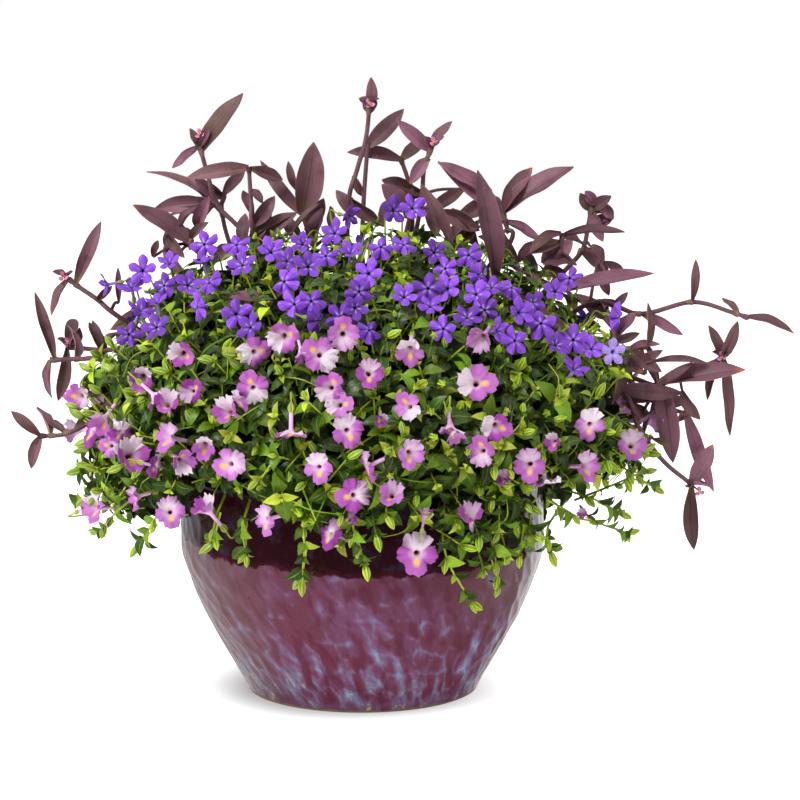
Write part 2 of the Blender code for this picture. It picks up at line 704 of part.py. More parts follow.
def drill(body, holes, low, high, sides):
    """Cuts upright holes, each given as (x, y, radius), out of a body between two heights."""
    cutters = bpy.data.collections.new(body.name + "_holes")
    bpy.context.scene.collection.children.link(cutters)
    for k, (x, y, radius) in enumerate(holes):
        label = f"{body.name}_hole_{k}"
        shape = tube([Vector((x, y, low)), Vector((x, y, high))], radius, sides)
        cutters.objects.link(bpy.data.objects.new(label, mesh_of(label, shape)))
    cut = body.modifiers.new("holes", "BOOLEAN")
    cut.operation = "DIFFERENCE"
    cut.operand_type = "COLLECTION"
    cut.collection = cutters
    drilled = bpy.data.meshes.new_from_object(body.evaluated_get(bpy.context.evaluated_depsgraph_get()))
    body.modifiers.clear()
    body.data = drilled
    for cutter in list(cutters.objects):
        bpy.data.meshes.remove(cutter.data)
    bpy.data.collections.remove(cutters)


def stem_foot(x, y):
    return Vector((x, y, SOIL_HEIGHT - HOLE_DEPTH))


def nearest_on(route, px, py):
    """The point of a route that the front picture shows nearest to (px, py)."""
    best = None
    for a, b in zip(route, route[1:]):
        for step in range(9):
            point = a.lerp(b, step / 8)
            away = (point - EYE).normalized() - sight(px, py).normalized()
            if best is None or away.length < best[0]:
                best = (away.length, point)
    return best[1]


def leaf_up(base, tip, side):
    """The upper side of a purple heart leaf: up and outward, rolled a little about its length."""
    lift = Vector((0.15 * side, -0.55, 0.85))
    way = (tip - base).normalized()
    if abs(way.z) > 0.8:
        lift = Vector((0.5 * side, -0.8, 0.2))
    return lift


def make_shoot(name, foot, rise, visible, leaves, ground, finish):
    """A purple heart shoot: one jointed stem from the potting mix with its leaves."""
    seen = [at_depth(*point) for point in visible]
    for back in range(STEM_TRIES):
        shift = Vector((0, STEM_SETBACK * back, 0))
        bend = [foot, Vector((foot.x, foot.y, rise))]
        inner = bend[-1].lerp(seen[0] + shift, 0.5) + Vector((0, 0.3 * shift.y + 0.004, 0.008))
        route = bend + [inner] + [point + shift * (0.35 if k else 1.0) for k, point in enumerate(seen)]
        stem = tube(route, STEM_RADIUS, STEM_SIDES, STEM_RADIUS * STEM_TAPER)
        if not ground.touches(stem, skip=(name,)):
            break
    pieces = []
    for k, (base_px, tip_px, width, behind) in enumerate(leaves):
        base = nearest_on(route, *base_px)
        for attempt in range(LEAF_TRIES):
            swing = LEAF_SWING * ((attempt + 1) // 2) * (1 if attempt % 2 else -1)
            tip = at_depth(*tip_px, base.y + behind + swing)
            up = leaf_up(base, tip, -1 if k % 2 else 1)
            placed = channelled_leaf(base, tip, width / 1000, up)
            if not ground.touches(placed, skip=(name,)):
                pieces.append(placed)
                break
    for piece in pieces:
        ground.add(name, piece)
    ground.add(name, stem)
    return fuse(name, stem, pieces, finish)


def core_sectors():
    """The mound's six inner bodies: left, middle and right, on each side of the border of the two plants."""
    rings = []
    for height in CORE_LEVELS:
        rings.append([mound_point(360 * k / CORE_SIDES, height, CORE_SHARE) for k in range(CORE_SIDES)])
    rings.append([Vector((0, -0.02, MOUND_HEIGHT + MOUND_TOP * CORE_SHARE))])
    dome = loft(rings)
    along = Vector((0, BORDER_FRONT[0] - BORDER_BACK[0], BORDER_FRONT[1] - BORDER_BACK[1])).normalized()
    border_side = Vector((0, along.z, -along.y))
    border = Vector((0, *BORDER_BACK))
    half_lane = LANE_WIDTH / 2
    lanes = {
        "left": [(Vector((LANE_LEFT - half_lane, 0, 0)), Vector((1, 0, 0)))],
        "middle": [(Vector((LANE_LEFT + half_lane, 0, 0)), Vector((-1, 0, 0))),
                   (Vector((LANE_RIGHT - half_lane, 0, 0)), Vector((1, 0, 0)))],
        "right": [(Vector((LANE_RIGHT + half_lane, 0, 0)), Vector((-1, 0, 0)))],
    }
    sectors = {}
    for plant, side in (("wishbone", -1), ("star", 1)):
        for place, cuts in lanes.items():
            edge = (border + border_side * (side * CORE_GAP / 2), border_side * -side)
            sectors[f"{plant}_foliage_{place}"] = cut_convex(dome, cuts + [edge])
    return sectors


def cut_convex(shape, cuts):
    """What is left of a convex shape behind each cut, given as a point and an outward normal."""
    bm = bmesh.new()
    corners = [bm.verts.new(point) for point in shape[0]]
    for face in shape[1]:
        bm.faces.new([corners[k] for k in face])
    bmesh.ops.recalc_face_normals(bm, faces=bm.faces)
    for point, normal in cuts:
        geometry = list(bm.verts) + list(bm.edges) + list(bm.faces)
        bmesh.ops.bisect_plane(bm, geom=geometry, plane_co=point, plane_no=normal, clear_outer=True,
                               dist=SHORTEST_EDGE)
        rim = [e for e in bm.edges if len(e.link_faces) == 1]
        bmesh.ops.edgenet_fill(bm, edges=rim)
    bmesh.ops.triangulate(bm, faces=bm.faces)
    bmesh.ops.recalc_face_normals(bm, faces=bm.faces)
    bm.verts.index_update()
    cut = [v.co.copy() for v in bm.verts], [tuple(v.index for v in face.verts) for face in bm.faces]
    bm.free()
    return cut


def spray_groups(places, count):
    """Splits the flowers into sprays of nearly equal size, each time across their longest spread."""
    if count == 1:
        return [places]
    spreads = [max(p[axis] for p in places) - min(p[axis] for p in places) for axis in range(3)]
    axis = spreads.index(max(spreads))
    ordered = sorted(places, key=lambda p: p[axis])
    cut = round(len(places) * (count // 2) / count)
    return spray_groups(ordered[:cut], count // 2) + spray_groups(ordered[cut:], count - count // 2)


def flower_facing(place, draw):
    """Flowers look outward, turned partly to the front light."""
    to_front = (EYE - place).normalized()
    front = 0.45 if place.y < 0.03 else 0.0
    wander = Vector((draw.uniform(-1, 1), draw.uniform(-1, 1), draw.uniform(-0.6, 1))) * FLOWER_WANDER
    return (outward(place) * (1 - front) + to_front * front + wander).normalized()


def make_spray(name, group, core_trees, ground, finish, kind, draw):
    """One spray: a short stalk seated on its plant's body, forking to each flower."""
    middle = sum(group, Vector()) / len(group)
    way = outward(middle)
    seat = None
    for tree in core_trees:
        hit = tree.ray_cast(middle + way * 0.03, -way)
        if hit[0] is not None and (seat is None or hit[3] < seat[3]):
            seat = hit
    start = seat[0] + seat[1] * (SEAT_GAP + 0.0001)
    top = start + seat[1] * SPRAY_STALK
    host = tube([start, top], SPRAY_RADII[0], STEM_SIDES, SPRAY_RADII[1])
    pieces = []
    heads = Ground()
    for k, place in enumerate(sorted(group, key=lambda p: -(p - middle).length)):
        facing = flower_facing(place, draw)
        spin = draw.uniform(0, 2 * math.pi) if kind == "star" else math.pi / 4 + draw.uniform(-0.2, 0.2)
        form = FLOWERS[kind]
        for attempt in range(FLOWER_TRIES):
            step = (attempt + 1) // 2
            shift = outward(place) * (0.0030 * step if attempt % 2 else -0.0012 * step)
            tilt = Vector((draw.uniform(-1, 1), draw.uniform(-1, 1), draw.uniform(-1, 1))) * (0.014 * attempt)
            look = (facing + tilt).normalized()
            hub = start.lerp(top, draw.uniform(0.3, 0.95))
            made = flower(place + shift, look, form, spin, hub)
            off_stem = hub + (place + shift - hub).normalized() * OFF_STEM
            free = flower(place + shift, look, form, spin, off_stem if attempt < STALKS_CLEAR_TRIES else None)
            if not ground.touches(made) and not heads.touches(free, clearance=0.0):
                pieces.append(made)
                heads.add(name, free)
                break
    for made in pieces:
        ground.add(name, made)
    ground.add(name + "_stalk", host)
    return fuse(name, host, pieces, finish)


def leaf_spots(count):
    """Points spread evenly over the mound's outside."""
    golden = math.pi * (3 - math.sqrt(5))
    spots = []
    for k in range(count):
        rise = 1 - (1 - LOWEST_LEAF) * (k + 0.5) / count
        flat = math.sqrt(1 - rise * rise)
        x, y = flat * math.cos(k * golden), flat * math.sin(k * golden)
        reach = MOUND_BACK if y > 0 else MOUND_FRONT
        spots.append(Vector((MOUND_SIDE * x, reach * y, MOUND_HEIGHT + MOUND_TOP * rise)))
    return spots


def make_foliage(name, core, spots, pieces, ground, finish, draw, leaf_size):
    """One plant's body with its leaves, its trailing sprigs and the stem it stands on."""
    low = min(core[0], key=lambda p: p.z).z
    base_points = [p for p in core[0] if p.z < low + 0.001]
    foot_spot = sum(base_points, Vector()) / len(base_points)
    foot_spot.x, foot_spot.y = crown_place(foot_spot)
    crown_top = Vector((foot_spot.x, foot_spot.y, CORE_BOTTOM + CROWN_SUNK))
    crown = tube([stem_foot(foot_spot.x, foot_spot.y), crown_top], CROWN_RADIUS, CROWN_SIDES)
    pieces.append(crown)
    for base, way in spots:
        for attempt in range(30):
            lean = Vector((draw.uniform(-1, 1), draw.uniform(-1, 1), draw.uniform(-0.9, 0.9)))
            lean = (lean - way * lean.dot(way)).normalized()
            out = draw.uniform(0.35, 0.9)
            length = leaf_size * draw.uniform(0.85, 1.15)
            if attempt > 15:
                length *= 0.75
            tip = base + (way * out + lean * math.sqrt(1 - out * out)) * length
            made = keeled_leaf(base - way * 0.004, tip, length * 0.56, way)
            own = (name,) if attempt > 10 else (name + "_core",)
            if not ground.touches(made, skip=own + (name + "_core",)):
                pieces.append(made)
                ground.add(name, made)
                break
    return fuse(name, core, pieces, finish), (foot_spot.x, foot_spot.y, CROWN_RADIUS)


def crown_place(spot):
    """The plan position of a plant's crown, pulled in so that it stands inside the bowl."""
    reach = math.hypot(spot.x, spot.y)
    pull = min(1.0, CROWN_REACH / reach)
    return spot.x * pull, spot.y * pull


def make_sprig(name, tree, start_px, end_px, ground, draw, leaf_size):
    """A trailing stem that leaves the mound, hangs clear of the bowl and bears leaves in pairs."""
    spot, normal, _, _ = tree.find_nearest(on_mound(*start_px, CORE_SHARE))
    start = spot - normal * 0.004
    middle_px = [(a * 0.45 + b * 0.55) for a, b in zip(start_px, end_px)]
    middle = on_mound(*middle_px, 0.95)
    end = on_mound(*end_px, 0.99)
    for attempt in range(SPRIG_TRIES):
        push = outward(end) * (0.003 * attempt)
        route = smooth_route([start, middle + push, end + push], 2)
        stem = tube(route, SPRIG_RADII[0], STEM_SIDES, SPRIG_RADII[1])
        if not ground.touches(stem, skip=(name, name + "_core")):
            break
    else:
        return []
    pieces = [stem]
    ground.add(name, stem)
    for share, length in ((2, 0.95), (4, 0.85)):
        base = route[share]
        way = (route[share] - route[share - 1]).normalized()
        across, above = side_vectors(way, outward(base))
        for side in (-1, 1):
            for attempt in range(30):
                turn = draw.uniform(0.5, 1.1)
                lift = outward(base) * draw.uniform(-0.2, 0.8)
                aim = (way * math.cos(turn) + across * (side * math.sin(turn)) + lift).normalized()
                tip = base + aim * (leaf_size * length * draw.uniform(0.85, 1.1))
                made = keeled_leaf(base - aim * LEAF_ROOT, tip, leaf_size * length * 0.52, outward(base))
                if not ground.touches(made, skip=(name, name + "_core")):
                    pieces.append(made)
                    ground.add(name, made)
                    break
    return pieces


def main():
    for obj in list(bpy.data.objects):
        bpy.data.objects.remove(obj)
    draw = random.Random(SEED)
    glaze = material("oxblood_glaze", (0.10, 0.03, 0.05), 0.12)
    earth = material("potting_earth", (0.06, 0.04, 0.03), 0.95)
    purple = material("purple_heart_leaf", (0.11, 0.05, 0.09), 0.45)
    wishbone_green = material("wishbone_leaf", (0.13, 0.25, 0.04), 0.55)
    star_green = material("star_leaf", (0.10, 0.20, 0.04), 0.55)
    wishbone_pink = material("wishbone_petal", (0.75, 0.36, 0.62), 0.5)
    star_violet = material("star_petal", (0.22, 0.12, 0.62), 0.5)

    ground = Ground()
    pot = make_pot(glaze)
    ground.add("pot", shape_of(pot))
    stands = []

    sectors = core_sectors()
    for name, core in sectors.items():
        ground.add(name + "_core", core)
    trees = [BVHTree.FromPolygons([tuple(p) for p in core[0]], core[1]) for core in sectors.values()]

    for k, (name, (visible, leaves)) in enumerate(by_side(PURPLE_HEART)):
        turn = math.radians(ROOT_ARC[0] + (ROOT_ARC[1] - ROOT_ARC[0]) * k / (len(PURPLE_HEART) - 1))
        radius = ROOT_RADII[k % 2]
        foot = stem_foot(radius * math.cos(turn), radius * math.sin(turn))
        make_shoot("purple_heart_" + name, foot, SHOOT_RISE, visible, leaves, ground, purple)
        stands.append((foot.x, foot.y, STEM_RADIUS))
    for k, (name, (lane, visible, leaves)) in enumerate(LANE_SHOOTS.items()):
        foot = stem_foot(lane, LANE_FEET[k])
        make_shoot("purple_heart_" + name, foot, LANE_RISE, visible, leaves, ground, purple)
        stands.append((foot.x, foot.y, STEM_RADIUS))

    sprigs = {name: [] for name in sectors}
    for start_px, end_px in SPRIG_PX:
        x = on_mound(*start_px).x
        name = "wishbone_foliage_" + ("left" if x < LANE_LEFT else "right" if x > LANE_RIGHT else "middle")
        tree = trees[list(sectors).index(name)]
        sprigs[name] += make_sprig(name, tree, start_px, end_px, ground, draw, LEAF_SIZES["wishbone"])

    kinds = (
        ("wishbone", WISHBONE_PX, WISHBONE_UNSEEN, WISHBONE_SPRAYS, wishbone_pink),
        ("star", STAR_PX, STAR_UNSEEN, STAR_SPRAYS, star_violet),
    )
    for kind, pixels, unseen, count, petal in kinds:
        places = [on_mound(px, py) for px, py in pixels]
        others = [mound_point(angle, height, 1.02) for angle, height in unseen]
        if count[1]:
            groups = spray_groups(places, count[0]) + spray_groups(others, count[1])
        else:
            groups = spray_groups(places + others, count[0])
        for k, group in enumerate(groups):
            make_spray(f"{kind}_spray_{k + 1:02d}", group, trees, ground, petal, kind, draw)

    spots = {name: [] for name in sectors}
    for aim in leaf_spots(LEAVES):
        way = outward(aim)
        hits = [(tree.ray_cast(aim, -way), name) for tree, name in zip(trees, sectors)]
        hits = [(hit[3], hit[0], name) for hit, name in hits if hit[0] is not None]
        if hits:
            _, base, name = min(hits, key=lambda hit: hit[0])
            spots[name].append((base, way))
    for name, core in sectors.items():
        kind = name.split("_")[0]
        green = wishbone_green if kind == "wishbone" else star_green
        size = LEAF_SIZES[kind]
        _, stand = make_foliage(name, core, spots[name], sprigs[name], ground, green, draw, size)
        stands.append(stand)
    make_potting_mix(earth, stands)


def by_side(shoots):
    """The shoots in order from left to right, by where each stem is first seen."""
    return sorted(shoots.items(), key=lambda item: item[1][0][0][0])


if __name__ == "__main__":
    main()
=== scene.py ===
"""Dresses the planted bowl: a glazed bowl with wishbone flower, violet star flower and purple heart.

Lengths are in metres and +Z is up. Places that the front picture shows are given as its points, 800 across,
and are set back to where their sight line meets the planting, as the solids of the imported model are.
"""

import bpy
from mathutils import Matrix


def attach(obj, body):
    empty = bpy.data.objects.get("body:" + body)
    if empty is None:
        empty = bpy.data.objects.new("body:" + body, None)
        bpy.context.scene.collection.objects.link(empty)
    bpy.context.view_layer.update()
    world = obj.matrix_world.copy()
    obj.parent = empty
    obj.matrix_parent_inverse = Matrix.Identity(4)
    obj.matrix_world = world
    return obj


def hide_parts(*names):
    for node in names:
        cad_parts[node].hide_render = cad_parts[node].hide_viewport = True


bl_info = {
    "name": "Planted Glazed Bowl",
    "version": (1, 0, 0),
    "blender": (4, 5, 0),
    "location": "View3D > Sidebar > Planted Bowl",
    "description": "Dresses a glazed bowl with a planting of wishbone flower, star flower and purple heart",
    "category": "Add Mesh",
}

import random
from math import atan2, cos, degrees, hypot, pi, radians, sin, sqrt

import bpy
import numpy as np
from mathutils import Matrix, Vector
from mathutils.kdtree import KDTree

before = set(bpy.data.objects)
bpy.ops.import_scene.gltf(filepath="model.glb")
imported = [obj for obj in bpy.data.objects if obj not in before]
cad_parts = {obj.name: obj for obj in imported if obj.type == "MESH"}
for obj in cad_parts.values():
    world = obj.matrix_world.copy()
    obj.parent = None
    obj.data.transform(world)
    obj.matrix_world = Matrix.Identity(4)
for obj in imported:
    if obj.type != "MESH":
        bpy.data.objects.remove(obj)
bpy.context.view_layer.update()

SEED = 27

# The front view: an eye 2.5 m before the bowl's axis, looking slightly down.
EYE = Vector((0.038, -2.5, 0.6465))
EYE_PITCH = radians(8.05)
PICTURE_SCALE = 2500.0
PICTURE_MIDDLE = 400.0
LENS = 112.5
SENSOR = 36.0

# The mound of foliage: its reach from the bowl's axis each way, at the height where it is widest.
MOUND_HEIGHT = 0.27
MOUND_SIDE = 0.285
MOUND_FRONT = 0.24
MOUND_BACK = 0.12
MOUND_TOP = 0.2
SKIRT_HEIGHT = 0.12
SKIRT_TAPER = 0.1
BORDER_BACK = (0.025, 0.236)
BORDER_FRONT = (-0.17, 0.37)
LANE_LEFT = -0.085
LANE_RIGHT = 0.135
SIGHT_START = -0.27
SIGHT_STEP = 0.0015
SIGHT_STEPS = 260

# The bowl's outside, foot to rim, as radius and height.
BOWL_OUTSIDE = [
    (0.1172, 0.0), (0.1229, 0.0118), (0.1295, 0.0234), (0.1367, 0.0361), (0.1441, 0.0487), (0.1533, 0.0658),
    (0.1615, 0.0816), (0.1696, 0.1007), (0.176, 0.1184), (0.1811, 0.133), (0.1841, 0.1506), (0.1842, 0.1722),
    (0.1825, 0.2), (0.1805, 0.219),
]
BOWL_RIM = 0.225
BOWL_WALL = 0.009
# Its lip, as steps out from the side's top and down from the rim.
BOWL_LIP = [
    (0.0006, 0.0035), (-0.0008, 0.0009), (-0.003, 0.0), (-0.006, 0.0), (-0.0083, 0.0012), (-BOWL_WALL, 0.004),
]
BOWL_FLOOR = 0.012
BOWL_FLOOR_RADIUS = 0.112
BOWL_SEGMENTS = 168
RING_STEP = 0.007
INSIDE_STEP = 0.012
# The hammered dimples: how many go round, and how far apart their rows are on the slanted, stretched side.
DIMPLES_AROUND = 62
DIMPLE_RADIUS = 0.165
DIMPLE_LEAN = 0.42
DIMPLE_STRETCH = 0.8
DIMPLE_REACH = 0.0115
RIDGE_WIDTH = 0.0055
# They fade out over a height at the foot, and over another below a height at the rim.
FOOT_INSIDE = 0.115
FADE_FOOT = 0.016
FADE_TOP = 0.221
FADE_RIM = 0.012
SOIL_HEIGHT = 0.202
SOIL_GAP = 0.0006
SOIL_SEGMENTS = 96
SOIL_RINGS = 24
CRUMBS = 420

# Wishbone flowers in the front picture: point, roll of the pale upper lip to the right, turn to the picture's
# right, lift and size.
WISHBONE_SEEN = [
    (183, 353, -70, -20, 10, 1), (143, 376, 10, -30, 20, 1), (168, 405, 10, -20, -10, 1),
    (82, 396, 90, -35, 0, 1), (193, 391, -120, 0, 15, .9), (253, 388, 160, 0, 5, 1.05),
    (230, 412, -20, -40, -10, 1), (254, 352, -110, 0, 10, 1), (284, 336, -110, 0, 10, 1.1),
    (320, 355, 120, 0, 5, 1.1), (106, 417, 0, -50, 40, 1), (93, 432, 20, -50, -5, 1),
    (120, 431, 0, 20, 60, .9), (129, 456, -10, 0, 0, 1.3), (172, 438, 30, -30, -20, 1),
    (180, 460, 180, 20, 30, 1), (205, 444, 0, -20, 10, .9), (155, 466, 60, 60, 0, .8),
    (231, 464, 80, -10, 10, 1), (291, 432, 0, -20, 75, 1), (319, 467, 0, 0, 5, .95),
    (343, 334, 180, 10, 0, 1.1), (369, 374, 0, 0, 5, 1), (410, 348, 0, 0, 30, .95),
    (483, 336, 180, 0, 10, 1.05), (476, 384, -90, 0, 5, 1.2), (331, 388, -140, 0, 10, 1),
    (340, 405, -90, 0, 5, .95), (347, 430, -30, 0, 5, 1.05), (410, 407, 150, 0, 5, .95),
    (409, 452, 0, 0, 0, .95), (495, 425, -80, 0, 5, .95), (483, 451, 180, 0, 5, 1.05),
    (453, 429, 0, 40, 50, .8), (368, 466, 20, -60, 10, .95), (530, 464, 0, 0, 5, 1.05),
    (381, 417, 40, 10, 10, .55), (354, 495, 70, 0, -5, 1.05), (392, 496, 30, 0, -5, .95),
    (424, 519, 0, 0, -50, .6), (417, 553, 0, 0, -5, 1.3), (471, 519, 10, 0, -40, 1), (505, 479, 0, 0, 0, .6),
    (545, 482, 0, -40, 112, 1), (331, 534, 0, -50, 0, .9), (348, 520, 0, 20, 0, .5), (555, 441, 0, 0, 10, .7),
    (590, 424, 0, 0, 5, .95), (631, 446, 0, 20, 0, 1.05), (583, 466, 0, 60, 0, 1), (584, 515, 0, 0, -30, .45),
    (98, 507, -10, -40, 0, 1.05), (139, 496, 0, -60, 0, .85), (170, 512, -20, -20, -20, 1),
    (210, 512, 0, -60, -35, 1), (267, 519, 0, -35, 0, .95),
]
# Small flowers that only the finished picture needs: each joins the spray beside it.
WISHBONE_EXTRA = [(153, 394, 0, 60, 40, .8), (112, 446, 90, -20, 10, .75), (449, 425, 0, 10, 70, .7),
                  (240, 400, 0, -50, 30, .7), (88, 506, 20, 30, -20, .8), (301, 349, 30, 30, 60, .7)]
# Those of them that sit deep among the leaves, and so look darker.
WISHBONE_SHADED = {(193, 391), (93, 432), (155, 466), (381, 417), (424, 519), (331, 534),
                   (348, 520), (505, 479)}
# Violet star flowers in the front picture.
STAR_SEEN = [
    (205, 245), (205, 266), (210, 284), (143, 271), (132, 289), (110, 284), (170, 265), (165, 286),
    (188, 286), (158, 305), (140, 312), (157, 328), (129, 335), (237, 246), (243, 266), (271, 253),
    (287, 262), (285, 282), (308, 267), (326, 257), (236, 314), (251, 328), (294, 305), (311, 302),
    (317, 320), (199, 307), (303, 245), (348, 216), (335, 234), (350, 255), (369, 274), (359, 292),
    (355, 308), (412, 209), (393, 211), (381, 248), (403, 246), (434, 253), (404, 298), (446, 269),
    (448, 289), (428, 289), (430, 308), (443, 329), (469, 256), (477, 275), (476, 295), (492, 289),
    (485, 310), (467, 319), (511, 289), (518, 313), (532, 303), (541, 324), (495, 331), (514, 341),
    (555, 346), (369, 331), (340, 317), (573, 340), (573, 371), (618, 317), (612, 352), (591, 350),
    (570, 279), (555, 292),
]
STAR_SIDEWAYS = {(110, 284): -70, (317, 320): 60, (199, 307): -60, (348, 216): 50, (618, 317): 65}
STAR_PALE = (612, 352)
WISHBONE_SPRAYS = 9
STAR_SPRAYS = (11, 2)
# Flowers that the front view doesn't show, by angle round the bowl and height.
WISHBONE_UNSEEN = [(8, 0.27), (24, 0.28), (156, 0.28), (172, 0.26)]
STAR_UNSEEN = [
    (25, 0.37), (50, 0.42), (72, 0.38), (90, 0.44), (108, 0.38), (130, 0.42), (155, 0.37), (90, 0.33),
]

# Where the front picture shows the two kinds of foliage.
WISHBONE_EDGE = [
    (68, 392), (100, 352), (140, 338), (200, 338), (260, 338), (300, 322), (350, 318), (420, 328), (480, 340),
    (540, 360), (600, 385), (640, 412), (650, 440), (640, 464), (600, 482), (560, 490), (546, 504),
    (534, 540), (500, 572), (470, 576), (445, 524), (400, 524), (380, 532), (340, 550), (302, 556),
    (280, 530), (240, 494), (200, 492), (150, 508), (110, 518), (82, 494),
]
STAR_EDGE = [
    (108, 292), (122, 262), (160, 250), (200, 236), (260, 236), (330, 222), (380, 214), (430, 222),
    (480, 240), (540, 268), (590, 288), (628, 328), (634, 375), (600, 392), (540, 366), (480, 346),
    (420, 334), (350, 324), (300, 330), (260, 344), (200, 346), (140, 346), (112, 345),
]

# Trailing sprigs at the mound's lower edge: where each one leaves the mound and where it ends.
SPRIG_SEEN = [
    ((120, 470), (78, 503)), ((160, 480), (100, 530)), ((175, 490), (141, 543)), ((250, 500), (246, 552)),
    ((300, 500), (302, 577)), ((350, 495), (364, 562)), ((440, 505), (470, 600)), ((480, 500), (499, 584)),
    ((540, 485), (571, 513)), ((560, 488), (617, 511)), ((575, 500), (642, 472)), ((580, 506), (627, 533)),
    ((566, 500), (549, 549)), ((600, 450), (652, 486)), ((530, 505), (520, 553)), ((225, 495), (214, 540)),
]
# Leaves that turn their pinker underside to the front, and leaf tips that have dried to orange.
PINK, DRIED = 1, 2
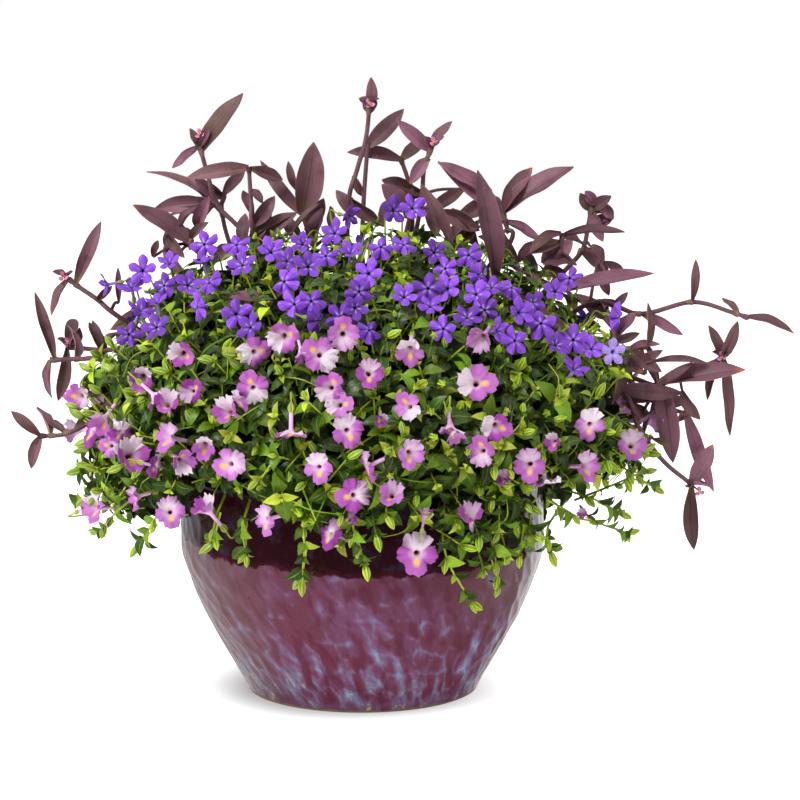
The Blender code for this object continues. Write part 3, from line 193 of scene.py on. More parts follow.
# Shoots of purple heart. Each has its stem as picture points with their distance in mm behind the bowl's axis,
# then its leaves and the smaller leaves on side stems. A leaf is its base and tip in the picture, its width in
# mm, how far in mm the tip lies behind the base, and its marks.
SHOOTS = {
    "left_high": ([(119, 317, 20), (98, 300, 20), (79, 287, 20), (66, 277, 20)], [(75, 284, 101, 221, 14, 10),
        (69, 279, 51, 315, 11, -10, DRIED)], [(119, 303, 118, 267, 7, 0), (98, 300, 112, 286, 8, -10)]),
    "left_middle": ([(105, 361, -10), (80, 359, -10), (51, 360, -10)], [(54, 360, 35, 292, 13, -10),
        (51, 360, 51, 398, 12, 10)], []),
    "left_curled": ([(124, 353, 30), (100, 350, 30), (67, 347, 30)], [(72, 348, 80, 328, 11, -10),
        (67, 347, 58, 401, 12, 10), (104, 350, 92, 320, 9, 10)], [(102, 353, 120, 331, 12, 10),
        (104, 358, 89, 322, 13, 10), (120, 348, 130, 366, 9, 0)]),
    "left_low": ([(122, 385, -30), (100, 415, -30), (67, 435, -30), (39, 438, -30)],
        [(41, 437, 11, 411, 12, 0), (41, 438, 31, 469, 11, -10), (65, 434, 46, 419, 9, 10),
        (108, 402, 74, 428, 13, -20)], [(100, 415, 118, 398, 10, 0)]),
    "back_left_low": ([(232, 250, 100), (222, 212, 100), (224, 192, 100)], [(224, 195, 245, 171, 12, 10),
        (223, 198, 194, 178, 12, -10), (221, 212, 147, 171, 15, 20)], [(226, 343, 212, 300, 13, -10, PINK),
        (222, 215, 186, 177, 12, 10)]),
    "back_left_big": ([(205, 262, 70), (190, 243, 70), (200, 222, 80), (214, 203, 80)],
        [(190, 244, 133, 205, 20, -10, DRIED), (213, 203, 155, 212, 15, 20),
        (198, 226, 209, 196, 12, -20, PINK), (193, 240, 208, 222, 10, -20)], [(153, 257, 158, 240, 9, 0),
        (168, 234, 184, 258, 10, -10), (180, 230, 199, 206, 12, 0), (210, 203, 154, 209, 14, 10),
        (178, 256, 165, 230, 15, 10, PINK), (199, 214, 166, 217, 13, 20, PINK),
        (214, 262, 233, 244, 17, 10)]),
    "back_left_tall": ([(250, 243, 60), (218, 206, 60), (208, 176, 60), (200, 147, 60)],
        [(201, 150, 243, 93, 15, 0), (200, 147, 172, 168, 12, 0, PINK)], []),
    "back_left_pair": ([(255, 240, 40), (251, 200, 40), (249, 168, 40)], [(249, 170, 187, 177, 15, 0),
        (249, 170, 283, 180, 14, 10), (252, 215, 243, 190, 10, 20), (253, 225, 275, 196, 13, 0),
        (254, 234, 297, 212, 10, 10)], [(250, 190, 263, 203, 9, 0), (293, 233, 319, 203, 8, 0),
        (244, 243, 245, 213, 14, 10), (250, 246, 272, 200, 13, 10), (258, 246, 297, 213, 13, 0)]),
    "upright_broad": ([(314, 247, 60), (306, 226, 60), (301, 208, 60)], [(301, 212, 314, 142, 27, 0),
        (303, 215, 260, 160, 12, 20), (307, 230, 324, 198, 14, 10)], [(315, 247, 322, 208, 19, 0),
        (297, 190, 288, 161, 8, 0), (300, 240, 284, 214, 13, 10), (340, 236, 330, 206, 13, 10)]),
    "centre_tall": ([(348, 208, 50), (357, 170, 50), (366, 138, 50), (370, 100, 50)],
        [(369, 108, 371, 77, 11, 0), (350, 196, 380, 222, 13, 0)], [(369, 112, 363, 100, 6, 0),
        (369, 114, 377, 101, 6, 0), (352, 214, 336, 190, 12, 0)]),
    "centre_arched": ([(363, 214, 80), (365, 180, 80), (368, 142, 80)], [(368, 146, 404, 109, 16, 10)],
        [(364, 196, 352, 176, 11, 0), (384, 226, 392, 196, 14, 10)]),
    "centre_fork": ([(412, 205, 90), (408, 180, 90), (400, 157, 90)], [(400, 159, 347, 152, 13, 0),
        (400, 159, 425, 138, 12, 20), (409, 190, 382, 180, 13, -10)], [(428, 196, 382, 179, 12, 0),
        (463, 189, 427, 212, 11, 0), (413, 222, 400, 186, 15, 20)]),
    "centre_flowered": ([(420, 210, 60), (424, 170, 60), (431, 148, 60)], [(430, 150, 397, 120, 13, 0, PINK),
        (431, 149, 452, 121, 11, 10), (428, 160, 410, 184, 13, -10, PINK + DRIED)],
        [(440, 211, 480, 231, 15, 0), (431, 150, 440, 138, 10, 0), (436, 236, 430, 200, 15, 20)]),
    "centre_low": ([(412, 228, 30), (406, 214, 30), (404, 205, 30)], [(405, 212, 382, 184, 20, 0)], []),
    "front_grey": ([(452, 256, 10), (450, 243, 0), (447, 232, 0)], [(449, 240, 421, 184, 14, 0)], []),
    "right_back_fan": ([(510, 243, 60), (507, 228, 60), (503, 212, 60)], [(504, 214, 573, 166, 24, 0),
        (503, 212, 532, 167, 19, 20, DRIED), (507, 222, 541, 241, 13, -10, PINK),
        (504, 220, 438, 161, 15, 10, PINK)], [(490, 194, 438, 162, 17, 0, PINK), (470, 232, 452, 208, 13, 10),
        (520, 262, 538, 240, 14, 0), (505, 250, 478, 236, 11, 0), (496, 197, 457, 217, 15, 10),
        (478, 221, 453, 252, 15, 20), (503, 234, 516, 268, 15, 10), (478, 246, 462, 218, 16, 20)]),
    "right_back_pair": ([(552, 262, 50), (560, 248, 50), (563, 233, 50)], [(562, 236, 625, 232, 13, 0),
        (561, 243, 529, 253, 12, -10)], [(562, 234, 529, 253, 15, -10), (563, 246, 541, 263, 16, 10, PINK),
        (562, 238, 588, 248, 14, 20), (576, 265, 543, 264, 13, -10), (548, 268, 567, 284, 14, 0),
        (534, 276, 522, 248, 14, 20)]),
    "right_back_curled": ([(573, 262, 80), (584, 246, 80), (588, 226, 80), (592, 206, 80)],
        [(591, 210, 580, 193, 11, 0), (592, 208, 611, 196, 11, -10), (588, 228, 614, 217, 12, 10),
        (583, 250, 606, 272, 12, -10)], [(613, 218, 601, 226, 8, 0, PINK), (597, 204, 585, 191, 11, 0, PINK),
        (601, 260, 606, 277, 10, 0), (598, 207, 614, 219, 13, 0, PINK), (592, 212, 603, 242, 13, -10, PINK),
        (602, 262, 626, 276, 11, 10), (590, 246, 604, 264, 13, 0)]),
    "right_long": ([(590, 303, 30), (640, 314, 20), (692, 302, 10), (731, 312, 0), (749, 318, 0)],
        [(694, 302, 696, 259, 10, 0), (746, 317, 794, 333, 10, -10, DRIED), (738, 314, 722, 298, 9, 10),
        (637, 314, 683, 335, 13, -10, PINK)], [(620, 312, 598, 300, 12, 0), (612, 312, 628, 292, 9, 0),
        (598, 262, 609, 296, 12, 10), (604, 318, 584, 300, 14, 10)]),
    "right_middle": ([(622, 378, 20), (657, 385, 20), (690, 372, 20), (722, 358, 20)],
        [(721, 358, 709, 325, 11, 10, DRIED), (722, 358, 738, 321, 12, -10), (721, 359, 730, 436, 14, 0),
        (660, 385, 745, 369, 24, -20, DRIED), (660, 386, 673, 463, 20, -10)], [(719, 361, 707, 400, 9, 0),
        (682, 390, 700, 420, 13, 0)]),
    "right_low": ([(618, 392, 0), (640, 430, 0), (664, 462, 0), (692, 485, 0)],
        [(692, 485, 713, 444, 14, 10, PINK + DRIED), (693, 486, 694, 550, 17, 0),
        (640, 428, 612, 436, 12, -10)], [(653, 439, 671, 444, 9, 0), (640, 420, 622, 402, 10, 0),
        (636, 444, 610, 428, 13, 10)]),
    "right_hanging": ([(610, 372, 40), (650, 400, 40), (686, 414, 40)], [(685, 414, 714, 492, 14, 0, PINK),
        (660, 404, 689, 400, 10, 10)], [(689, 408, 678, 422, 8, 0), (650, 400, 622, 398, 12, 0),
        (650, 419, 625, 402, 11, 0), (640, 424, 612, 416, 12, 10)]),
    "right_tangle": ([(600, 345, 0), (625, 350, 0), (647, 347, 0)], [(646, 347, 648, 303, 10, 0),
        (630, 350, 662, 372, 13, -10), (620, 349, 612, 405, 15, -20)], [(658, 384, 693, 362, 9, 0),
        (646, 374, 618, 347, 11, 0), (629, 371, 602, 399, 15, 0, PINK), (602, 399, 616, 421, 14, -10),
        (611, 340, 637, 312, 13, 0, PINK), (612, 342, 640, 333, 9, 0), (627, 352, 660, 344, 10, 0, PINK),
        (655, 361, 708, 363, 7, 0), (633, 364, 663, 350, 10, -10), (600, 342, 643, 373, 16, -20),
        (618, 388, 683, 393, 15, 10), (592, 352, 608, 380, 15, 10)]),
    "back_far_left": ([(225, 290, 130), (190, 280, 150), (160, 300, 170)], [(163, 299, 110, 330, 17, 20),
        (190, 280, 165, 240, 15, 30), (160, 300, 165, 370, 15, 30)], []),
    "back_left": ([(300, 300, 140), (285, 270, 180), (270, 300, 210)], [(271, 298, 230, 340, 18, 20),
        (284, 272, 250, 230, 16, 30), (270, 300, 292, 372, 17, 20)], []),
    "back_right": ([(430, 290, 140), (440, 262, 190), (455, 300, 220)], [(454, 298, 500, 335, 18, 20),
        (440, 264, 465, 215, 16, 40), (455, 300, 440, 375, 17, 10)], []),
    "back_far_right": ([(520, 290, 130), (548, 272, 160), (575, 300, 180)], [(573, 298, 622, 338, 17, 20),
        (548, 273, 572, 236, 15, 40), (575, 300, 560, 372, 15, 30)], []),
}
# Shoots that come up through the mound's lanes and lean out of its front: the lane, how far behind the axis
# the foot stands, then as above.
LANE_SHOOTS = {
    "front_left": (LANE_LEFT, -0.05, [(272, 318, -90), (270, 302, -120)],
        [(271, 304, 230, 297, 14, -10, PINK), (271, 308, 290, 286, 9, 0)], [(272, 310, 258, 296, 6, 0)]),
    "front_tall": (LANE_RIGHT, 0.0, [(497, 292, -40), (494, 275, -40)], [(494, 278, 478, 170, 25, 0),
        (495, 285, 575, 332, 15, -50)], []),
    "front_long": (LANE_RIGHT, 0.03, [(497, 262, 30), (520, 270, 10), (545, 282, 0), (568, 291, 0)],
        [(566, 290, 654, 273, 14, 0, PINK)], [(497, 277, 575, 330, 13, -20)]),
}
# Purple heart's own small pink flowers: the shoot that bears each one and its place in the front picture.
PINK_FLOWERS = {"back_left_tall": (200, 134), "centre_tall": (369, 104), "left_high": (63, 277),
                "right_low": (700, 492), "right_middle": (722, 357), "centre_flowered": (434, 142),
                "left_curled": (68, 343)}
SHOOT_RISE = 0.245
LANE_RISE = 0.25
ROOT_ARC = (138.0, 42.0)
ROOT_RADII = (0.16, 0.143)
HOLE_DEPTH = 0.022
STEM_RADIUS = 0.0029
STEM_TAPER = 0.78
STEM_TRIES = 14
STEM_SETBACK = 0.006
LEAF_SWING = 0.006
LEAF_TRIES = 24
LEAF_ROLL = 38
LOW_LEAVES = 2
LOW_STRETCH = (0.25, 0.345)

# The funnels behind the flowers' faces, from the closed end to the throat, as radius and depth.
WISHBONE_FUNNEL = [(0.0, -0.62), (0.045, -0.6), (0.048, -0.42), (0.05, -0.21), (0.06, -0.11), (0.092, -0.055)]
STAR_FUNNEL = [(0.0, -0.42), (0.04, -0.41), (0.042, -0.1), (0.055, -0.015)]
WISHBONE_GRID = (54, 12)
STAR_GRID = (40, 8)
# The lobes of a wishbone flower: the turn of each one's middle from the top, its half width and its reach.
WISHBONE_LOBES = [(-23, 45, 0.45), (23, 45, 0.46), (-98, 49, 0.43), (98, 49, 0.44), (180, 50, 0.5)]
# How each bloom opens: its share of the full width, how far its lobes lean forward, how much they wave.
WISHBONE_OPENING = [(1.0, 0.04, 0.055), (0.94, 0.2, 0.065), (1.04, -0.05, 0.07), (0.8, 0.34, 0.05)]
STAR_OPENING = [(1.0, 0.0), (0.95, 0.14), (1.0, -0.12), (0.86, 0.24)]
PETAL_WALL = 0.012
# A calyx from its base to its tip, as radius and rise, and how far it is slipped over the flower's tube.
CALYX = [(0.0, 0.0), (0.09, 0.05), (0.17, 0.26), (0.2, 0.5), (0.15, 0.74), (0.07, 0.9), (0.0, 1.0)]
CALYX_RIBS = 5
CALYX_SLIP = 0.0045
STALK_LENGTH = 0.026
SMALL_FLOWER = 0.7

# The leaves: how far apart the growing tips stand, and how wide a space each flower keeps clear of them.
TIP_GAP = 0.02
ROW_GAP = 0.0185
LOWEST_ROW = 0.128
LOWEST_BACK = 0.165
LOWEST_INNER = 0.16
BACK_THINNING = 1.25
BLOOM_CLEAR = 0.013
TUBE_CLEAR = 0.0045
RUNNER_SHARE = 0.3
# How new a growing tip is, from an old one to fresh lime, and how much older each pair of leaves below it is.
TIP_AGES = [0.15, 0.5, 0.85, 1.05, 1.2, 1.35]
PAIR_AGEING = 0.44
# A growing tip's pairs of leaves from the top: size, how far they open in degrees, and the stem below them,
# which is given for leaves of TIP_SCALE.
TIP_PAIRS = [(0.34, 32, 0.003), (0.66, 55, 0.009), (0.95, 72, 0.013), (1.08, 84, 0.013)]
TIP_SCALE = 0.028
# Each plant's garden leaves: rows, widest place, depth of the teeth, arch, fold, twist and how pointed.
LEAF_KINDS = {
    "wishbone": [(8, 0.36, 0.09, 0.22, 0.25, 0.25, 0.9), (8, 0.38, 0.11, 0.34, 0.15, -0.35, 0.9),
                 (8, 0.34, 0.08, 0.1, 0.38, 0.1, 0.95)],
    "star": [(6, 0.36, 0.0, 0.25, 0.2, 0.3, 1.15), (6, 0.38, 0.0, 0.12, 0.34, -0.2, 1.1),
             (6, 0.34, 0.0, 0.38, 0.12, 0.1, 1.15)],
}
# Each plant's buds: length, girth as a share of it, and how many growing tips bear one.
BUDS = {"wishbone": (0.015, 0.95, 0.7), "star": (0.009, 0.8, 0.25)}
# The number of side veins and the paleness of the margin of each plant's leaves.
LEAF_MARKS = {"wishbone": (6.0, 0.1), "star": (5.0, 0.35)}
CORE_SHARE = 0.74
CORE_BELOW = 0.062

# The room's bright sides: where each lies, how near to it the brightness starts and is full, and how much.
ROOM_SIDES = [((-0.25, 0.97, 0), 0.35, 0.95, 1.0), ((0.5, 0.866, 0), 0.84, 0.97, 2.0),
              ((0, 0, 1), 0.2, 0.65, 1.0)]


def display(red, green, blue):
    """A colour read from a screen, 0 to 255, as Blender's linear colour."""
    parts = [value / 255 for value in (red, green, blue)]
    return tuple(p / 12.92 if p <= 0.04045 else ((p + 0.055) / 1.055) ** 2.4 for p in parts)


def colour(label, what, *rgb):
    return bpy.props.FloatVectorProperty(name=label, description="Colour of " + what, subtype="COLOR", size=3,
                                         min=0.0, max=1.0, default=display(*rgb))


def length(label, note, default):
    return bpy.props.FloatProperty(name=label, description=note, default=default, min=0.0, unit="LENGTH",
                                   precision=4)


def power(label, what, default):
    return bpy.props.FloatProperty(name=label, description="Power of the " + what, default=default, min=0.0,
                                   unit="POWER")


def share(label, note, default):
    return bpy.props.FloatProperty(name=label, description=note, default=default, min=0.0, max=4.0,
                                   subtype="FACTOR")


class BowlSettings(bpy.types.PropertyGroup):
    """Sizes and colours of the glazed bowl and its potting mix."""

    band_height: length("Band height", "Height of the dark upper glaze's lower edge", 0.149)
    dimple_depth: length("Dimple depth", "Depth of the hammered dimples in the bowl's side", 0.0008)
    band: colour("Dark glaze", "the upper band", 38, 7, 16)
    body: colour("Plum glaze", "the bowl's side", 95, 52, 67)
    haze: colour("Lilac haze", "the soft haze in the plum glaze", 116, 78, 112)
    streaks: colour("Streaks", "the lavender streaks", 114, 121, 151)
    foot: colour("Bare foot", "the unglazed line at the foot", 128, 104, 70)
    earth: colour("Potting mix", "the potting mix", 52, 38, 28)


class WishboneSettings(bpy.types.PropertyGroup):
    """Sizes and colours of the wishbone flower."""

    flower_size: length("Flower size", "Height of one bloom", 0.0335)
    leaf_size: length("Leaf size", "Length of a grown leaf", 0.0238)
    upper_lip: colour("Upper lip", "the pale upper lip", 219, 208, 214)
    lobes: colour("Lobes", "the side lobes", 140, 58, 142)
    pale_lobes: colour("Pale lobes", "the side lobes of the palest blooms", 178, 118, 180)
    lower_lobe: colour("Lower lobe", "the lower lobe", 170, 96, 170)
    shaded_lobes: colour("Shaded lobes", "blooms deep among the leaves", 112, 38, 112)
    throat: colour("Throat", "the inside of the throat", 216, 116, 112)
    spot: colour("Spot", "the spot below the throat", 242, 190, 44)
    old_leaf: colour("Old leaf", "a grown leaf", 46, 74, 18)
    grown_leaf: colour("Young leaf", "a leaf half grown", 110, 148, 34)
    new_leaf: colour("New growth", "the growing tips", 188, 200, 72)


class StarSettings(bpy.types.PropertyGroup):
    """Sizes and colours of the violet star flower."""

    flower_size: length("Flower size", "Width of one bloom", 0.0308)
    leaf_size: length("Leaf size", "Length of a grown leaf", 0.0232)
    petal: colour("Petal", "the petals", 126, 66, 194)
    petal_edge: colour("Petal edge", "the petals' edges", 144, 86, 208)
    vein: colour("Veins", "the petals' veins", 72, 32, 136)
    star: colour("Star", "the pale star in the middle", 236, 232, 255)
    old_leaf: colour("Old leaf", "a grown leaf", 44, 70, 16)
    grown_leaf: colour("Young leaf", "a leaf half grown", 106, 142, 30)
    new_leaf: colour("New growth", "the growing tips", 186, 202, 58)


class HeartSettings(bpy.types.PropertyGroup):
    """Sizes and colours of purple heart."""

    thickness: length("Leaf thickness", "Thickness of a leaf", 0.001)
    leaf_top: colour("Leaf top", "the upper side", 96, 64, 64)
    leaf_under: colour("Leaf underside", "the underside", 130, 82, 104)
    bloom: colour("Bloom", "the waxy bloom on the leaves", 116, 92, 98)
    shadow: colour("Dark patches", "the darkest patches of a leaf", 52, 29, 30)
    dried: colour("Dried tip", "the dried leaf tips", 176, 92, 44)
    fresh: colour("Leaf base", "the leaf bases", 146, 132, 66)
    flower: colour("Flower", "the small flowers", 226, 130, 200)


class StageSettings(bpy.types.PropertyGroup):
    """The studio round the bowl."""

    key_power: power("Key light", "main light from above the left", 74.0)
    side_power: power("Side light", "tall soft light at the left", 16.0)
    fill_power: power("Fill light", "soft light at the right", 12.0)
    room_light: share("Room light", "Brightness of the pale room behind and above", 0.64)
    front_light: share("Front light", "Brightness of the room low before the bowl", 0.06)
    floor_glow: share("Floor glow", "Own brightness of the floor away from the bowl", 0.8)


def settings(name):
    return getattr(bpy.context.scene, "planted_bowl_" + name)


class Draw(random.Random):
    """Random draws of one piece's own; called with two limits, it draws a number between them."""

    def __init__(self, piece):
        super().__init__(SEED + piece)

    def __call__(self, low, high):
        return self.uniform(low, high)


# Places in the planting

def sight(px, py):
    """The direction from the eye through a point of the front picture."""
    right = (px - PICTURE_MIDDLE) / PICTURE_SCALE
    up = (PICTURE_MIDDLE - py) / PICTURE_SCALE
    level, drop = cos(EYE_PITCH), sin(EYE_PITCH)
    return Vector((right, level + up * drop, up * level - drop))


def at_depth(px, py, depth):
    """The point of a sight line that lies this far behind the bowl's axis."""
    way = sight(px, py)
    return EYE + way * ((depth - EYE.y) / way.y)


def in_picture(point):
    """Where the front picture shows a point."""
    away = Vector(point) - EYE
    level, drop = cos(EYE_PITCH), sin(EYE_PITCH)
    scale = PICTURE_SCALE / (away.y * level - away.z * drop)
    return PICTURE_MIDDLE + scale * away.x, PICTURE_MIDDLE - scale * (away.y * drop + away.z * level)


def mound_reach(y):
    return MOUND_FRONT if y < 0 else MOUND_BACK


def mound_share(point):
    """How far out in the mound a point lies: 0 on its middle line, 1 on its surface."""
    flat = hypot(point.x / MOUND_SIDE, point.y / mound_reach(point.y))
    above = point.z - MOUND_HEIGHT
    if above >= 0:
        return hypot(flat, above / MOUND_TOP)
    return flat / (1 - SKIRT_TAPER * (above / SKIRT_HEIGHT) ** 2)


def on_mound(px, py, share=1.0):
    """Where a sight line first meets the mound's shell of this share, or passes nearest to it."""
    best = None
    for step in range(SIGHT_STEPS):
        point = at_depth(px, py, SIGHT_START + SIGHT_STEP * step)
        found = mound_share(point)
        if found <= share:
            return point
        if best is None or found < best[0]:
            best = (found, point)
    return best[1]


def outward(point):
    """The mound's outward direction at a point."""
    above = (point.z - MOUND_HEIGHT) / MOUND_TOP ** 2
    if above < 0:
        above *= 0.5
    return Vector((point.x / MOUND_SIDE ** 2, point.y / mound_reach(point.y) ** 2, above)).normalized()


def mound_point(angle, height, share):
    """A point of the mound's shell by its angle round the bowl, in degrees from +X, and its height."""
    x, y = cos(radians(angle)), sin(radians(angle))
    above = height - MOUND_HEIGHT
    if above >= 0:
        shrink = sqrt(max(0.0, share ** 2 - (above / MOUND_TOP) ** 2))
    else:
        shrink = share * (1 - SKIRT_TAPER * (above / SKIRT_HEIGHT) ** 2)
    return Vector((MOUND_SIDE * shrink * x, mound_reach(y) * shrink * y, height))


def inside(px, py, edge):
    """Whether a point of the picture lies within an outline."""
    within = False
    for (x0, y0), (x1, y1) in zip(edge, edge[1:] + edge[:1]):
        if (y0 > py) != (y1 > py) and px < x0 + (x1 - x0) * (py - y0) / (y1 - y0):
            within = not within
    return within


def smooth_route(points, steps):
    """A smooth curve through the points, with this many steps between neighbours."""
    ends = [points[0] * 2 - points[1]] + list(points) + [points[-1] * 2 - points[-2]]
    route = []
    for a, b, c, d in zip(ends, ends[1:], ends[2:], ends[3:]):
        for t in (step / steps for step in range(steps)):
            route.append(0.5 * (2 * b + (c - a) * t + (2 * a - 5 * b + 4 * c - d) * t * t
                                + (3 * b - a - 3 * c + d) * t ** 3))
    return route + [points[-1].copy()]


def spray_groups(places, count):
    """Splits the flowers into sprays of nearly equal size, each time across their longest spread."""
    if count == 1:
        return [places]
    spreads = [max(p[axis] for p, _ in places) - min(p[axis] for p, _ in places) for axis in range(3)]
    axis = spreads.index(max(spreads))
    ordered = sorted(places, key=lambda p: p[0][axis])
    cut = round(len(places) * (count // 2) / count)
    return spray_groups(ordered[:cut], count // 2) + spray_groups(ordered[cut:], count - count // 2)


def nearest_on(route, px, py):
    """The point of a route that the front picture shows nearest to (px, py)."""
    way = sight(px, py).normalized()
    points = [a.lerp(b, step / 8) for a, b in zip(route, route[1:]) for step in range(9)]
    return min(points, key=lambda point: ((point - EYE).normalized() - way).length)


def wander(draw, low=-1.0, high=1.0):
    """A random way to go, with its rise between two limits."""
    return Vector((draw(-1, 1), draw(-1, 1), draw(low, high)))


# Shapes and meshes

def clear_selection():
    if bpy.context.mode != "OBJECT":
        bpy.ops.object.mode_set(mode="OBJECT")
    bpy.ops.object.select_all(action="DESELECT")


def edit_all():
    bpy.ops.object.mode_set(mode="EDIT")
    bpy.ops.mesh.select_all(action="SELECT")


def extrude_rings(rings):
    """Extrudes the selected ring through a row of radii and heights, of which it is the first."""
    for (radius, height), (next_radius, next_height) in zip(rings, rings[1:]):
        bpy.ops.mesh.extrude_region_move(TRANSFORM_OT_translate={"value": (0, 0, next_height - height)})
        ratio = next_radius / radius
        bpy.ops.transform.resize(value=(ratio, ratio, 1.0), center_override=(0, 0, next_height))


def roughen(obj, grain, depth, group=""):
    """Presses soft clouds into a surface, or into one group of its points."""
    texture = bpy.data.textures.new("clouds", "CLOUDS")
    texture.noise_scale = grain
    press = obj.modifiers.new("clouds", "DISPLACE")
    press.texture = texture
    press.texture_coords = "LOCAL"
    press.vertex_group = group
    press.strength = depth
    clear_selection()
    obj.select_set(True)
    bpy.context.view_layer.objects.active = obj
    bpy.ops.object.modifier_apply(modifier=press.name)


def turn_to(ahead, up):
    """The turn that lays +Y along `ahead` and +Z as near to `up` as can be, as a 3 by 3 array."""
    ahead = np.asarray(ahead, float) / np.linalg.norm(ahead)
    across = np.cross(ahead, np.asarray(up, float))
    if np.linalg.norm(across) < 1e-6:
        across = np.cross(ahead, (1.0, 0.1, 0.0))
    across /= np.linalg.norm(across)
    return np.stack([across, ahead, np.cross(across, ahead)], axis=1)


def read(items, key, width, kind=float):
    """One property of all items of a mesh, with a row for each item."""
    values = np.empty(len(items) * width, kind)
    items.foreach_get(key, values)
    return values.reshape(-1, width)


def add_tint(mesh, tints):
    """Gives each point its own tint, which the finishes read."""
    layer = mesh.color_attributes.new(name="tint", type="FLOAT_COLOR", domain="POINT")
    layer.data.foreach_set("color", tints.astype(np.float32).ravel())


def place_piece(piece, finish, nodes):
    """Gives a piece its finish and the planting's one body, and hides the nodes that it stands for."""
    piece.data.materials.append(finish)
    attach(piece, "root")
    if nodes:
        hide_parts(*nodes)


class Form:
    """A small shape for copying: its points, its faces and the place of each corner on its map."""

    def __init__(self, obj):
        mesh = obj.data
        self.points = read(mesh.vertices, "co", 3)
        self.corners = read(mesh.loops, "vertex_index", 1, np.int64).ravel()
        self.counts = read(mesh.polygons, "loop_total", 1, np.int64).ravel()
        self.maps = read(mesh.uv_layers[0].uv, "vector", 2)
        bpy.data.objects.remove(obj)
        bpy.data.meshes.remove(mesh)

    def points_map(self):
        """One map place for each point, taken from its last corner."""
        found = np.zeros((len(self.points), 2))
        found[self.corners] = self.maps
        return found


class Gather:
    """Many small shapes brought together into one mesh."""

    def __init__(self):
        self.parts, self.total = [], 0

    def put(self, points, corners, counts, maps, tints):
        tints = np.broadcast_to(tints, (len(points), 4))
        self.parts.append((points, corners + self.total, counts, maps, tints))
        self.total += len(points)

    def add(self, form, place, turn, size, tints):
        points = (form.points * size) @ turn.T + np.asarray(place, float)
        self.put(points, form.corners, form.counts, form.maps, tints)

    def sweep(self, route, radii, sides, tint):
        """A closed round stem along a route."""
        route = np.array([tuple(p) for p in route])
        count = len(route)
        radii = np.interp(np.linspace(0, 1, count), np.linspace(0, 1, len(radii)), radii)
        ways = np.gradient(route, axis=0)
        ways /= np.linalg.norm(ways, axis=1, keepdims=True) + 1e-12
        hint = np.cross(ways[0], (0.3, 0.9, 0.2))
        turns = 2 * np.pi * np.arange(sides) / sides
        rings = []
        for point, way, radius in zip(route, ways, radii):
            hint = hint - way * hint.dot(way)
            hint /= np.linalg.norm(hint)
            across = np.outer(np.cos(turns), hint) + np.outer(np.sin(turns), np.cross(way, hint))
            rings.append(point + radius * across)
        points = np.concatenate([route[:1]] + rings + [route[-1:]])
        k = np.arange(sides)
        after = (k + 1) % sides
        first = 1 + np.arange(count - 1)[:, None] * sides
        last = len(points) - 1 - sides
        walls = np.stack([first + k, first + after, first + sides + after, first + sides + k], axis=-1)
        start = np.stack([0 * k, 1 + after, 1 + k], axis=-1)
        end = np.stack([0 * k + len(points) - 1, last + k, last + after], axis=-1)
        corners = np.concatenate([walls.ravel(), start.ravel(), end.ravel()])
        along = np.concatenate([[0], np.repeat(np.arange(count) / (count - 1), sides), [1]])
        turn = np.concatenate([[0], np.tile(k / sides, count), [0]])
        counts = np.array([4] * (walls.size // 4) + [3] * (2 * sides))
        self.put(points, corners, counts, np.stack([turn, along], axis=-1)[corners], tint)

    def make(self, name, finish, slot, nodes):
        """The gathered shapes as one finished piece on the planting's one body."""
        points, corners, counts, maps, tints = (np.concatenate(part) for part in zip(*self.parts))
        mesh = bpy.data.meshes.new(name)
        mesh.vertices.add(len(points))
        mesh.vertices.foreach_set("co", points.astype(np.float32).ravel())
        mesh.loops.add(len(corners))
        mesh.loops.foreach_set("vertex_index", corners.astype(np.int32))
        mesh.polygons.add(len(counts))
        mesh.polygons.foreach_set("loop_start", (np.cumsum(counts) - counts).astype(np.int32))
        mesh.update(calc_edges=True)
        mesh.uv_layers.new(name="UVMap").uv.foreach_set("vector", maps.astype(np.float32).ravel())
        add_tint(mesh, tints)
        mesh.validate()
        mesh.shade_smooth()
        mesh.set_sharp_from_angle(angle=radians(60))
        piece = bpy.data.objects.new(name, mesh)
        bpy.context.scene.collection.objects.link(piece)
        place_piece(piece, finish, nodes)


def model_form(columns, rows, shape, wall=0.0):
    """A form modelled on a grid: each point is moved by its place (across, along), then the seams are merged.

    A wall thickness turns the sheet into a thin closed shell.
    """
    clear_selection()
    bpy.ops.mesh.primitive_grid_add(x_subdivisions=columns, y_subdivisions=rows, size=2)
    obj = bpy.context.active_object
    for corner in obj.data.vertices:
        corner.co = shape((corner.co.x + 1) / 2, (corner.co.y + 1) / 2)
    edit_all()
    bpy.ops.mesh.remove_doubles(threshold=1e-6)
    if not wall:
        bpy.ops.mesh.normals_make_consistent(inside=False)
    bpy.ops.object.mode_set(mode="OBJECT")
    if wall:
        thicken = obj.modifiers.new("wall", "SOLIDIFY")
        thicken.thickness = wall
        thicken.offset = -1.0
        thicken.use_even_offset = False
        bpy.ops.object.modifier_apply(modifier=thicken.name)
    return Form(obj)


def garden_leaf(rows, widest, teeth, arch, fold, twist, pointed):
    """A small leaf of unit length along +Y, flat on top with its midrib standing out below."""
    def shape(across, along):
        ring = round(across * 4) % 4
        ends = min(1.0, along / 0.02, (1 - along) / 0.02)
        rise = along / widest if along < widest else (1 - along) / (1 - widest)
        half = 0.29 * ends * sin(pi / 2 * max(0.0, min(1.0, rise))) ** pointed
        if round(along * rows) % 2:
            half *= 1 - teeth
        side = {0: -1, 2: 1}.get(ring, 0)
        low = 0.035 * ends if ring == 3 else 0.0
        turn = twist * along
        x, z = side * half * cos(fold), abs(side) * half * sin(fold) - low
        bend = arch * along * along
        return (x * cos(turn) - z * sin(turn), along - 0.25 * bend * along,
                x * sin(turn) + z * cos(turn) - bend + 0.12 * sin(pi * along))
    return model_form(4, rows, shape)


